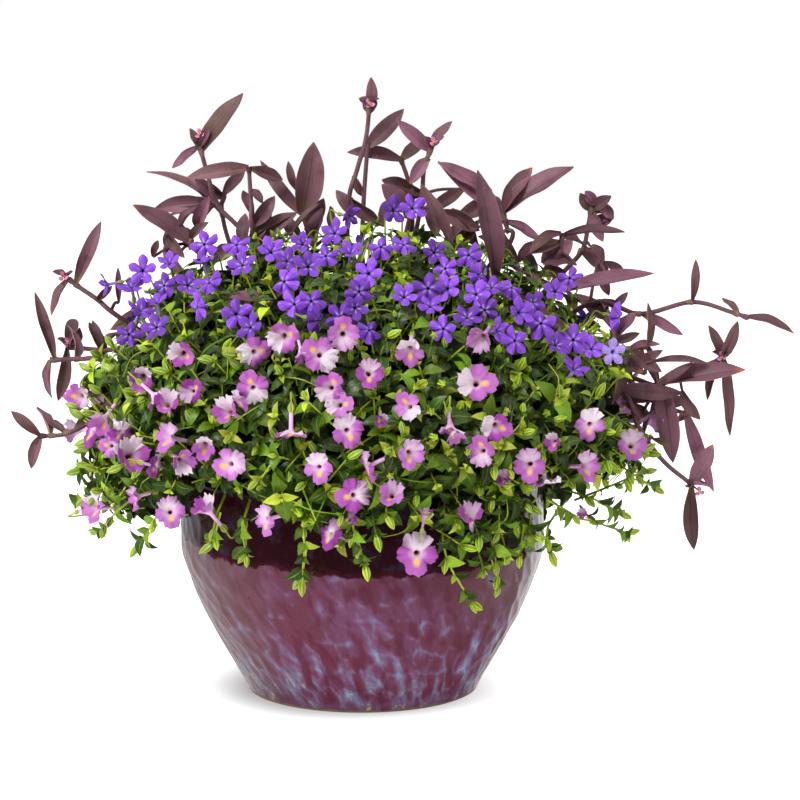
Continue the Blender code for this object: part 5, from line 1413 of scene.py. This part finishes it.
class PLANTED_BOWL_OT_purple_heart(bpy.types.Operator):
    """Add the shoots of purple heart with their leaves, sheaths and small flowers"""

    bl_idname = "planted_bowl.purple_heart"
    bl_label = "Purple Heart"

    def execute(self, context):
        heart = settings("heart")
        draw, low_draw = Draw(2), Draw(6)
        form, finish = heart_form(), heart_finish(heart)
        blooms, petal = Gather(), small_petal()
        for name, x, y, rise, visible, leaves, side_leaves in shoots():
            node = "purple_heart_" + name
            solid = read(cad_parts[node].data.vertices, "co", 3)
            route = fitted_route(Vector((x, y, SOIL_HEIGHT - HOLE_DEPTH)), rise, visible, solid)
            shoot = Shoot(form, heart.thickness, route)
            for k, (px, py, tip_x, tip_y, width, behind, *marks) in enumerate(leaves):
                base = nearest_on(route, px, py)
                tip = fitted_tip(base, tip_x, tip_y, behind, solid)
                shoot.leaf(base, tip, width / 1000, leaf_up(base, tip, -1 if k % 2 else 1), draw, sum(marks))
                shoot.sheath(base, draw)
            for side_leaf in side_leaves:
                shoot.side_leaf(draw, *side_leaf)
            if y > 0.05:
                shoot.low_leaves(low_draw)
            if name in PINK_FLOWERS:
                shoot.flower(blooms, petal, *PINK_FLOWERS[name], heart.flower, draw)
            shoot.make(name + "_shoot", finish, "purple_heart_leaf", [node])
        blooms.make("small_pink_flowers", own_tint_finish("small_pink_petal", 0.55), "wishbone_petal", [])
        return {"FINISHED"}


# Flowers

def seen_facing(place, turn, lift):
    """The way a flower looks, turned in the picture to the right and lifted from looking at the eye."""
    ahead = (EYE - place).normalized()
    right = Vector((1, 0, 0))
    up = ahead.cross(right) * -1
    turn, lift = radians(turn), radians(lift)
    return (ahead * cos(turn) * cos(lift) + right * sin(turn) * cos(lift)
            + up.normalized() * sin(lift)).normalized()


def flower_turn(facing, roll):
    """The turn that lays a flower's +Z along its facing, with its top rolled from upright, in degrees."""
    facing = np.array(facing)
    up = np.array((0.0, 0.0, 1.0)) - facing * facing[2]
    if np.linalg.norm(up) < 0.05:
        up = np.cross(facing, (1.0, 0.0, 0.0))
    up /= np.linalg.norm(up)
    spin = radians(roll)
    top = up * cos(spin) + np.cross(up, facing) * sin(spin)
    return np.stack([np.cross(top, facing), top, facing], axis=1)


def blend(first, second, share):
    """Two colours, or two sets of them, mixed by a share or by one share for each point."""
    return np.asarray(first) * (1 - share) + np.asarray(second) * share


def two_sided(tones, outside, out):
    """The tints of a thin shell by its tones on either side; its back has the second half of the points."""
    back = (np.arange(len(tones)) >= len(tones) // 2)[:, None]
    return np.concatenate([np.clip(np.where(back, outside, tones), 0, 1), out], axis=1)


def wishbone_tints(form, plant, shaded, draw):
    """The colours of a wishbone flower by place on it: pale lip, pink lobes, spot, dark throat, pale tube."""
    across, along = form.points_map().T[:, :, None]
    ring = np.round(along * WISHBONE_GRID[1])
    out = np.clip((ring - 5) / 7, 0, 1)
    away = np.abs((across * 360 + 180) % 360 - 180)
    lobes = blend(plant.lobes, plant.pale_lobes, draw.random() ** 1.4)
    lip = np.array(plant.upper_lip) * draw(0.86, 1.0)
    under = blend(plant.lower_lobe, lobes, draw(0.0, 0.9))
    if shaded:
        lobes = np.array(plant.shaded_lobes)
        lip, under = blend(lip, lobes, 0.5), blend(under, lobes, 0.75)
    tones = lobes * (1.3 - 0.42 * out ** 2)
    blush = draw.choice([0.05, 0.15, 0.35, 0.7])
    tones = blend(tones, blend(lip, under, blush * out), np.clip((64 - away) / 8, 0, 1))
    tones = blend(tones, under, np.clip((away - 137) / 8, 0, 1))
    tones = blend(tones, display(210, 192, 202), 0.8 * np.clip(1 - out / draw(0.24, 0.55), 0, 1))
    tones = blend(tones, plant.spot, np.clip(1.7 - np.hypot((away - 180) / 15, (out - 0.26) / 0.15), 0, 1))
    tones = blend(tones, display(196, 120, 140), (ring == 4) * 0.55)
    tones = blend(tones, plant.throat, np.clip(4 - ring, 0, 1) * draw.choice([0.5, 0.8, 1.0]))
    tube = np.array(display(226, 176, 222)) * (0.5 if shaded else 1.0)
    outside = blend(blend(tones, tube, 0.35), tube, ring <= 6)
    return two_sided(tones, outside, np.clip(out, 0.15, 1))


def star_tints(form, plant, pale, draw):
    """The colours of a star flower: violet petals, a pale star, a dark eye with a yellow dot, a pale tube."""
    across, along = form.points_map().T[:, :, None]
    ring = np.round(along * STAR_GRID[1])
    out = np.clip((ring - 3) / 5, 0, 1)
    away = np.abs((across * 360 + 36) % 72 - 36) / 36
    shade = draw.choice([0.62, 0.8, 0.95, 1.05, 1.25])
    tones = blend(plant.petal, plant.petal_edge, out) * shade
    tones = blend(tones, plant.vein, 0.45 * away ** 3)
    if pale:
        tones = blend(tones, display(190, 176, 232), 0.6)
    star = np.clip(1.15 - out / 0.36 - away * 1.3, 0, 1)
    tones = blend(tones, plant.star, star * draw(0.35, 0.8))
    tones = blend(tones, display(36, 16, 66), np.clip(3.6 - ring, 0, 1))
    tones = np.where(ring < 2, display(240, 214, 90), tones)
    outside = np.where(ring < 4, display(150, 130, 196), blend(tones, display(140, 118, 214), 0.35))
    return two_sided(tones, outside, np.clip(out, 0.1, 1))


def ribs_of(calyx):
    """Which points of a calyx stand on its ribs."""
    return np.round(calyx.points_map()[:, 0] * 2 * CALYX_RIBS) % 2


def calyx_tints(calyx, plant, draw):
    """Lime ribs over darker green hollows."""
    hollows = blend(plant.old_leaf, plant.grown_leaf, 0.7)
    tones = blend(hollows, plant.new_leaf, ribs_of(calyx)[:, None] * 0.9) * draw(0.85, 1.1)
    return np.concatenate([tones, np.zeros((len(tones), 1))], axis=1)


def seen_bloom(px, py, roll, turn, lift, size):
    place = on_mound(px, py)
    nod = sin(px * 1.7 + py * 2.9)
    facing = seen_facing(place, turn + 20 * nod, lift + 14 * sin(px * 2.3 - py * 1.3))
    return place, (facing, roll + 10 * nod, size, (px, py) in WISHBONE_SHADED)


def all_blooms(draw):
    """Every flower's place, with its facing, roll, size and whether it looks other, in the solids' order."""
    wishbone = [seen_bloom(*flower) for flower in WISHBONE_SEEN]
    star = []
    for angle, height in WISHBONE_UNSEEN:
        place = mound_point(angle, height, 1.02)
        wishbone.append((place, (outward(place), draw(-60, 60), 1.0, False)))
    for px, py in STAR_SEEN:
        place = on_mound(px, py)
        if (px, py) in STAR_SIDEWAYS:
            facing = seen_facing(place, STAR_SIDEWAYS[px, py], 10)
        else:
            facing = outward(place) * 0.45 + (EYE - place).normalized() * 0.55 + wander(draw, -0.7, 1) * 0.5
        roll, size = draw(0, 72), draw(0.84, 1.08)
        star.append((place, (facing.normalized(), roll, size, (px, py) == STAR_PALE)))
    for angle, height in STAR_UNSEEN:
        place = mound_point(angle, height, 1.02)
        star.append((place, (outward(place), draw(0, 72), 1.0, False)))
    return wishbone, star


def add_stalked(spray, calyx, place, facing, tube, plant, draw, girth):
    """The calyx at the closed end of a flower's tube, and a stalk that bends back into the leaves."""
    neck = place - facing * (tube + girth[1] - CALYX_SLIP)
    spray.add(calyx, neck, turn_to(facing, (0.1, 0.2, 1)), girth, calyx_tints(calyx, plant, draw))
    root = neck - outward(place) * STALK_LENGTH - Vector((0, 0, 0.008))
    route = smooth_route([root, neck - facing * 0.009, neck + facing * 0.001], 4)
    green = blend(plant.grown_leaf, plant.new_leaf, 0.35) * draw(0.85, 1.1)
    spray.sweep(route, [0.001, 0.0008], 5, (*green, 0.0))


def add_sprays(kind, groups, finish, bloom, tube, girth, draw):
    """One piece for each group of flowers, each flower with its calyx and stalk."""
    plant, calyx = settings(kind), calyx_form()
    for k, group in enumerate(groups):
        spray = Gather()
        for place, (facing, roll, size, other) in group:
            form, tints, grown = bloom(size, other)
            spray.add(form, place + facing * 0.002, flower_turn(facing, roll), grown, tints)
            add_stalked(spray, calyx, place, facing, grown * tube, plant, draw, np.array(girth) * size)
        node = f"{kind}_spray_{k + 1:02d}"
        spray.make(f"{kind}_blooms_{k + 1:02d}", finish, kind + "_petal", [node])


class PLANTED_BOWL_OT_wishbone_blooms(bpy.types.Operator):
    """Add the sprays of wishbone flower"""

    bl_idname = "planted_bowl.wishbone_blooms"
    bl_label = "Wishbone Blooms"

    def execute(self, context):
        plant = settings("wishbone")
        draw = Draw(3)
        forms = [wishbone_form(k) for k in range(4)]
        groups = spray_groups(all_blooms(draw)[0], WISHBONE_SPRAYS)
        for flower in WISHBONE_EXTRA:
            extra = seen_bloom(*flower)
            min(groups, key=lambda group: min((spot - extra[0]).length for spot, _ in group)).append(extra)

        def bloom(size, shaded):
            form = forms[3] if size < SMALL_FLOWER else draw.choice(forms + forms[1:2] + forms[3:])
            tints = wishbone_tints(form, plant, shaded, draw)
            return form, tints, plant.flower_size * size * draw(0.95, 1.05)
        finish = petal_finish("wishbone_petal", display(168, 66, 166), 64, 0.3)
        add_sprays("wishbone", groups, finish, bloom, 0.62, (0.0145, 0.012, 0.0145), draw)
        return {"FINISHED"}


class PLANTED_BOWL_OT_star_blooms(bpy.types.Operator):
    """Add the sprays of violet star flower"""

    bl_idname = "planted_bowl.star_blooms"
    bl_label = "Star Blooms"

    def execute(self, context):
        plant = settings("star")
        draw = Draw(4)
        forms = [star_form(k) for k in range(4)]
        blooms = all_blooms(Draw(3))[1]
        seen, unseen = blooms[:len(STAR_SEEN)], blooms[len(STAR_SEEN):]
        groups = spray_groups(seen, STAR_SPRAYS[0]) + spray_groups(unseen, STAR_SPRAYS[1])

        def bloom(size, pale):
            form = draw.choice(forms)
            return form, star_tints(form, plant, pale, draw), plant.flower_size * size
        finish = petal_finish("star_petal", plant.vein, 25, 0.65)
        add_sprays("star", groups, finish, bloom, 0.42, (0.0115, 0.0095, 0.0115), draw)
        return {"FINISHED"}


# Foliage

def tip_places(draw):
    """Places spread over the mound's shell, from its skirt to its top."""
    places, height = [], LOWEST_ROW
    top = MOUND_HEIGHT + MOUND_TOP * 0.995
    while height < MOUND_HEIGHT + MOUND_TOP:
        ring = [mound_point(a, height, 1.0) for a in range(0, 361, 6)]
        around = sum((q - p).length for p, q in zip(ring, ring[1:]))
        count = max(1, round(around / TIP_GAP))
        spin = draw(0, 360)
        for k in range(count):
            angle = spin + 360 * (k + draw(-0.35, 0.35)) / count
            rise = height + draw(-0.4, 0.4) * ROW_GAP
            places.append(mound_point(angle, min(rise, top), 1.0))
        above = max(0.0, height - MOUND_HEIGHT) / MOUND_TOP
        height += ROW_GAP * max(0.3, sqrt(max(0.0, 1 - above ** 2)))
    return places


def plant_at(place):
    """The plant that a place on the mound belongs to: the border runs up from the back to the front."""
    slope = (BORDER_FRONT[1] - BORDER_BACK[1]) / (BORDER_FRONT[0] - BORDER_BACK[0])
    line = BORDER_BACK[1] + (place.y - BORDER_BACK[0]) * slope
    return "star" if place.z > line else "wishbone"


def third_of(place):
    return "left" if place.x < LANE_LEFT else "right" if place.x > LANE_RIGHT else "middle"


class Clearings:
    """The space before each flower, which leaves keep out of."""

    def __init__(self, blooms):
        self.places = np.array([tuple(place) for place, _ in blooms])
        self.ways = np.array([tuple(data[0]) for _, data in blooms])
        self.sizes = np.array([data[2] for _, data in blooms])
        eyes = np.array(EYE) - self.places
        self.eyes = eyes / np.linalg.norm(eyes, axis=1, keepdims=True)

    def open_at(self, points, radius):
        """Whether none of the points stands before a flower or in its tube."""
        off = np.array([tuple(point) for point in points])[:, None] - self.places
        for ways, reach, tube in ((self.ways, 0.05, TUBE_CLEAR), (self.eyes, 0.3, 0.0)):
            depth = (off * ways).sum(axis=-1)
            aside = np.linalg.norm(off - depth[..., None] * ways, axis=-1)
            before = (depth > 0.001) & (depth < reach) & (aside < radius * self.sizes)
            within = (depth > -0.018) & (depth <= 0.001) & (aside < tube)
            if before.any() or within.any():
                return False
        return True


class Foliage:
    """One plant's leaves, stems and buds, gathered by the third of the mound that they stand in."""

    def __init__(self, kind, bud, clearings, draw):
        self.plant, self.bud, self.clearings, self.draw = settings(kind), bud, clearings, draw
        self.bud_length, self.bud_girth, self.bud_share = BUDS[kind]
        self.forms = [garden_leaf(*shape) for shape in LEAF_KINDS[kind]]
        self.leaves = {third: Gather() for third in ("left", "middle", "right")}
        self.spots = []

    def leaf(self, third, base, way, up, size, young, inner=False):
        """One leaf, left out where it would stand before a flower; those further in get painted shade and are
        the darkest.
        """
        draw = self.draw
        way = way.normalized()
        along = [base.lerp(base + way * size, k / 4) for k in (1, 2, 3, 4)]
        if not inner and not self.clearings.open_at(along, BLOOM_CLEAR):
            return
        wide = size * draw(0.85, 1.15)
        # Painted shade: leaves further in are drawn darker; the rest take a random lightness.
        light = draw(-0.22, 0.22) if inner else draw(0.22, 1.0)
        tint = (min(1.0, max(0.0, young)), light, 0.0, 1.0)
        turn, sizes = turn_to(way, up), np.array([wide, size, size])
        self.leaves[third].add(draw.choice(self.forms), base, turn, sizes, tint)

    def tip(self, third, place, axis, size, young, pairs, bud_share):
        """A growing tip: leaves in crossed pairs down its stem, smallest and newest at the top."""
        draw = self.draw
        axis = axis.normalized()
        side = axis.cross(wander(draw)).normalized()
        down = 0.0
        for k, (grown, opening, drop) in enumerate(TIP_PAIRS[:pairs]):
            grown *= size * draw(0.85, 1.12)
            turn = radians(opening + draw(-10, 10))
            base = place - axis * down
            for sign in (-1, 1):
                way = axis * cos(turn) + side * (sign * sin(turn))
                way += Vector((0, 0, -0.18 * k * draw.random()))
                self.leaf(third, base, way, axis, grown * draw(0.9, 1.1), young - PAIR_AGEING * k)
            side = axis.cross(side).normalized()
            down += drop * size / TIP_SCALE
        route = [place - axis * (down + 0.012), place - axis * down * 0.5, place]
        tint = (min(1.0, 0.6 + 0.3 * young), draw(0.4, 1.0), 1.0, 1.0)
        self.leaves[third].sweep(route, [0.0011, 0.0007], 5, tint)
        for share in (bud_share, bud_share * 0.45):
            if draw.random() < share:
                way = axis + side * draw(-1.1, 1.1)
                self.add_bud(third, place + axis * 0.002, way, draw(0.8, 1.2))

    def runner(self, third, start):
        """A thin bare stem that arches over the leaves from one tip towards another."""
        draw = self.draw
        away = outward(start)
        across = away.cross(wander(draw)).normalized()
        end = start + across * draw(0.03, 0.06)
        end -= outward(end) * 0.01
        middle = start.lerp(end, 0.5) + away * draw(0.006, 0.012)
        route = smooth_route([start - away * 0.006, middle, end], 5)
        if self.clearings.open_at(route, BLOOM_CLEAR):
            tint = (draw(0.45, 0.85), draw(0.3, 0.9), 1.0, 1.0)
            self.leaves[third].sweep(route, [0.0008, 0.0005], 5, tint)

    def add_bud(self, third, place, way, size):
        """A ribbed bud: lime ribs, and greener hollows between them."""
        draw, long = self.draw, self.bud_length * size
        if not self.clearings.open_at([place, place + way.normalized() * long], BLOOM_CLEAR * 0.8):
            return
        girth = long * self.bud_girth
        tints = np.ones((len(self.bud.points), 4))
        tints[:, 0] = np.clip(draw(0.3, 0.5) + 0.6 * ribs_of(self.bud), 0, 1)
        tints[:, 1] = draw(0.5, 1.0)
        turn, sizes = turn_to(way, (0.2, 0.1, 1)), np.array([girth, long, girth])
        self.leaves[third].add(self.bud, place, turn, sizes, tints)

    def grow_tips(self):
        """Growing tips at the plant's places, with older leaves beneath them."""
        draw = self.draw
        for place, young, size in self.spots:
            third, away = third_of(place), outward(place)
            lean = 0.45 if place.z > MOUND_HEIGHT else -0.15 - 0.5 * (MOUND_HEIGHT - place.z) / SKIRT_HEIGHT
            axis = away + Vector((0, 0, lean)) + wander(draw, -0.7, 0.7) * 0.55
            at = place - away * draw.choice([0.0, 0.004, 0.01, 0.018, 0.026])
            self.tip(third, at, axis, size, young, 4, self.bud_share)
            if draw.random() < RUNNER_SHARE:
                self.runner(third, at)

    def trail_sprigs(self):
        """Sprigs that hang over the bowl's rim, with leaves in pairs, buds and a new tip."""
        draw, size = self.draw, self.plant.leaf_size
        for (x, y), (end_x, end_y) in SPRIG_SEEN:
            start = on_mound(x, y, 0.8)
            bow = draw(-12, 12)
            middle = on_mound(x * 0.45 + end_x * 0.55 + bow, y * 0.45 + end_y * 0.55, 0.98)
            end = on_mound(end_x, end_y)
            route = smooth_route([start, middle, end], 8)
            third = third_of(start)
            self.leaves[third].sweep(route, [0.0013, 0.0008], 6, (0.7, draw.random(), 1.0, 1.0))
            for spot in (5, 8, 11, 14):
                self.sprig_pair(third, route[spot], (route[spot + 1] - route[spot - 1]).normalized(), size)
            way = (route[-1] - route[-3]).normalized()
            self.tip(third, end, way + outward(end) * 0.5, size * 0.68, 1.05, 3, 1.0)

    def sprig_pair(self, third, base, way, size):
        """A pair of leaves on a sprig, one or both of which may have fallen, and now and then a bud."""
        draw, away = self.draw, outward(base)
        across = way.cross(away).normalized()
        for sign in (-1, 1):
            lift = away * draw(-0.1, 0.9)
            aim = way * draw(0.2, 0.9) + across * (sign * draw(0.4, 1.0)) + lift
            grown = size * draw(0.4, 0.88)
            if draw.random() < 0.85:
                self.leaf(third, base, aim, away, grown, draw(-0.1, 0.75))
        if draw.random() < 0.35:
            hang = way * 0.6 + away * 0.3 + Vector((0, 0, -0.8)) + across * draw(-.6, .6)
            self.add_bud(third, base, hang, draw(0.9, 1.15))


class PLANTED_BOWL_OT_foliage(bpy.types.Operator):
    """Add the leaves, stems, buds and trailing sprigs of the wishbone flower and the star flower"""

    bl_idname = "planted_bowl.foliage"
    bl_label = "Foliage"

    def execute(self, context):
        draw = Draw(5)
        wishbone_blooms, star_blooms = all_blooms(Draw(3))
        clearings, bud = Clearings(wishbone_blooms + star_blooms), calyx_form()
        plants = {kind: Foliage(kind, bud, clearings, draw) for kind in ("wishbone", "star")}
        self.share_places(plants, draw)
        for foliage in plants.values():
            foliage.grow_tips()
        plants["wishbone"].trail_sprigs()
        self.fill_inside(plants, draw)
        for kind, foliage in plants.items():
            finish = leaf_finish(kind + "_leaf", foliage.plant, *LEAF_MARKS[kind])
            for third, gather in foliage.leaves.items():
                gather.make(f"{kind}_leaves_{third}", finish, kind + "_leaf", [f"{kind}_foliage_{third}"])
        return {"FINISHED"}

    def share_places(self, plants, draw):
        """Gives each plant its places for growing tips, thinner at the back and clear of the rim there."""
        for place in tip_places(draw):
            in_wishbone, in_star = (inside(*in_picture(place), edge) for edge in (WISHBONE_EDGE, STAR_EDGE))
            if not (in_wishbone or in_star):
                continue
            kind = plant_at(place)
            if place.y < 0.0:
                kind = "wishbone" if in_wishbone else "star"
            elif place.z < LOWEST_BACK or draw.random() > 1 / BACK_THINNING:
                continue
            young = draw.choice(TIP_AGES)
            plants[kind].spots.append((place, young, plants[kind].plant.leaf_size * draw(0.78, 1.25)))

    def fill_inside(self, plants, draw):
        """Older leaves further in, darkened by painted shade, so that no gap shows through the mound."""
        for place in tip_places(draw):
            in_mound = any(inside(*in_picture(place), edge) for edge in (WISHBONE_EDGE, STAR_EDGE))
            if place.z < LOWEST_INNER or not in_mound:
                continue
            foliage, away = plants[plant_at(place)], outward(place)
            within = place - away * draw(0.03, 0.06)
            for _ in range(2):
                lean = wander(draw, -1, 0.6)
                size = foliage.plant.leaf_size * draw(1.0, 1.35)
                foliage.leaf(third_of(place), within, lean, away, size, draw(-0.3, 0.2), True)


class PLANTED_BOWL_OT_inner_shade_body(bpy.types.Operator):
    """Add the dark body at the heart of the mound, painted near black as shade, which keeps light from showing
    through the gaps
    """

    bl_idname = "planted_bowl.inner_growth"
    bl_label = "Inner Shade Body"

    def execute(self, context):
        clear_selection()
        bpy.ops.mesh.primitive_uv_sphere_add(segments=96, ring_count=48, radius=1.0)
        obj = context.active_object
        obj.name = "inner_growth"
        for corner in obj.data.vertices:
            x, y, z = corner.co
            spot = mound_point(degrees(atan2(y, x)), MOUND_HEIGHT, CORE_SHARE * hypot(x, y))
            spot.z = MOUND_HEIGHT + z * (CORE_BELOW if z < 0 else MOUND_TOP * CORE_SHARE)
            corner.co = spot
        roughen(obj, 0.016, 0.02)
        obj.data.shade_smooth()
        place_piece(obj, inner_shade_finish(), [])
        return {"FINISHED"}


# The studio

class PLANTED_BOWL_OT_stage(bpy.types.Operator):
    """Add the pale floor, the soft lights and the camera at the picture's view"""

    bl_idname = "planted_bowl.stage"
    bl_label = "Stage"

    def execute(self, context):
        studio = settings("stage")
        clear_selection()
        bpy.ops.mesh.primitive_grid_add(x_subdivisions=24, y_subdivisions=24, size=14)
        floor = context.active_object
        floor.name = "studio_floor"
        floor.data.materials.append(floor_finish(studio.floor_glow))
        floor.visible_glossy = False
        self.add_light("key", (-1.2, -1.7, 2.5), 1.1, studio.key_power)
        self.add_light("side", (-1.9, -0.35, 0.75), 1.5, studio.side_power).visible_glossy = False
        self.add_light("fill", (1.9, -1.2, 1.7), 1.6, studio.fill_power)
        self.add_room(studio.room_light, studio.front_light)
        self.add_camera()
        context.scene.view_settings.view_transform = "Standard"
        return {"FINISHED"}

    def add_light(self, name, place, size, energy):
        """A square soft light that shines on the bowl."""
        lamp = bpy.data.lights.new(name, "AREA")
        lamp.size = size
        lamp.energy = energy
        lit = bpy.data.objects.new(name, lamp)
        lit.location = place
        lit.rotation_euler = (Vector((0, 0, 0.25)) - Vector(place)).to_track_quat("-Z", "Y").to_euler()
        bpy.context.scene.collection.objects.link(lit)
        return lit

    def add_room(self, strength, front):
        """A pale room, bright above and behind on the left, dark low before the bowl, which mirrors it."""
        room = bpy.data.worlds.new("pale_room")
        bpy.context.scene.world = room
        room.use_nodes = True
        nodes = Nodes(room.node_tree)
        way = nodes.node("ShaderNodeTexCoord", {})[0]
        brightest = nodes.node("ShaderNodeLightPath", {})[0]
        for aim, low, high, bright in ROOM_SIDES:
            side = nodes.node("ShaderNodeVectorMath", {0: way, 1: aim}, operation="DOT_PRODUCT")[1]
            lit = nodes.rise(side, low, high, front, strength * bright)
            brightest = nodes.calc("MAXIMUM", lit, brightest)
        background = room.node_tree.nodes["Background"].inputs
        nodes.feed(background["Color"], (1.0, 1.0, 1.0))
        nodes.feed(background["Strength"], brightest)

    def add_camera(self):
        view = bpy.data.cameras.new("front_view")
        view.lens = LENS
        view.sensor_width = SENSOR
        camera = bpy.data.objects.new("front_view", view)
        camera.location = EYE
        camera.rotation_euler = (radians(90) - EYE_PITCH, 0, 0)
        bpy.context.scene.collection.objects.link(camera)
        bpy.context.scene.camera = camera


class PLANTED_BOWL_PT_panel(bpy.types.Panel):
    """Lists the pieces of the planted bowl"""

    bl_idname = "PLANTED_BOWL_PT_panel"
    bl_label = "Planted Bowl"
    bl_space_type = "VIEW_3D"
    bl_region_type = "UI"
    bl_category = "Planted Bowl"

    def draw(self, context):
        for name, (group, title) in GROUPS.items():
            box = self.layout.box()
            box.label(text=title)
            for key in group.__annotations__:
                box.prop(settings(name), key)
        for operator in OPERATORS:
            self.layout.operator(operator.bl_idname)


GROUPS = {
    "bowl": (BowlSettings, "Bowl"), "wishbone": (WishboneSettings, "Wishbone flower"),
    "star": (StarSettings, "Star flower"), "heart": (HeartSettings, "Purple heart"),
    "stage": (StageSettings, "Stage"),
}
OPERATORS = (
    PLANTED_BOWL_OT_bowl, PLANTED_BOWL_OT_potting_mix, PLANTED_BOWL_OT_purple_heart,
    PLANTED_BOWL_OT_wishbone_blooms, PLANTED_BOWL_OT_star_blooms, PLANTED_BOWL_OT_foliage,
    PLANTED_BOWL_OT_inner_shade_body, PLANTED_BOWL_OT_stage,
)


def register():
    for name, (group, _) in GROUPS.items():
        bpy.utils.register_class(group)
        setattr(bpy.types.Scene, "planted_bowl_" + name, bpy.props.PointerProperty(type=group))
    for cls in OPERATORS + (PLANTED_BOWL_PT_panel,):
        bpy.utils.register_class(cls)


def unregister():
    for cls in reversed(OPERATORS + (PLANTED_BOWL_PT_panel,)):
        bpy.utils.unregister_class(cls)
    for name, (group, _) in GROUPS.items():
        delattr(bpy.types.Scene, "planted_bowl_" + name)
        bpy.utils.unregister_class(group)


def main():
    register()
    clear_selection()
    bpy.ops.planted_bowl.bowl()
    bpy.ops.planted_bowl.potting_mix()
    bpy.ops.planted_bowl.purple_heart()
    bpy.ops.planted_bowl.wishbone_blooms()
    bpy.ops.planted_bowl.star_blooms()
    bpy.ops.planted_bowl.foliage()
    bpy.ops.planted_bowl.inner_growth()
    bpy.ops.planted_bowl.stage()


if __name__ == "__main__":
    main()
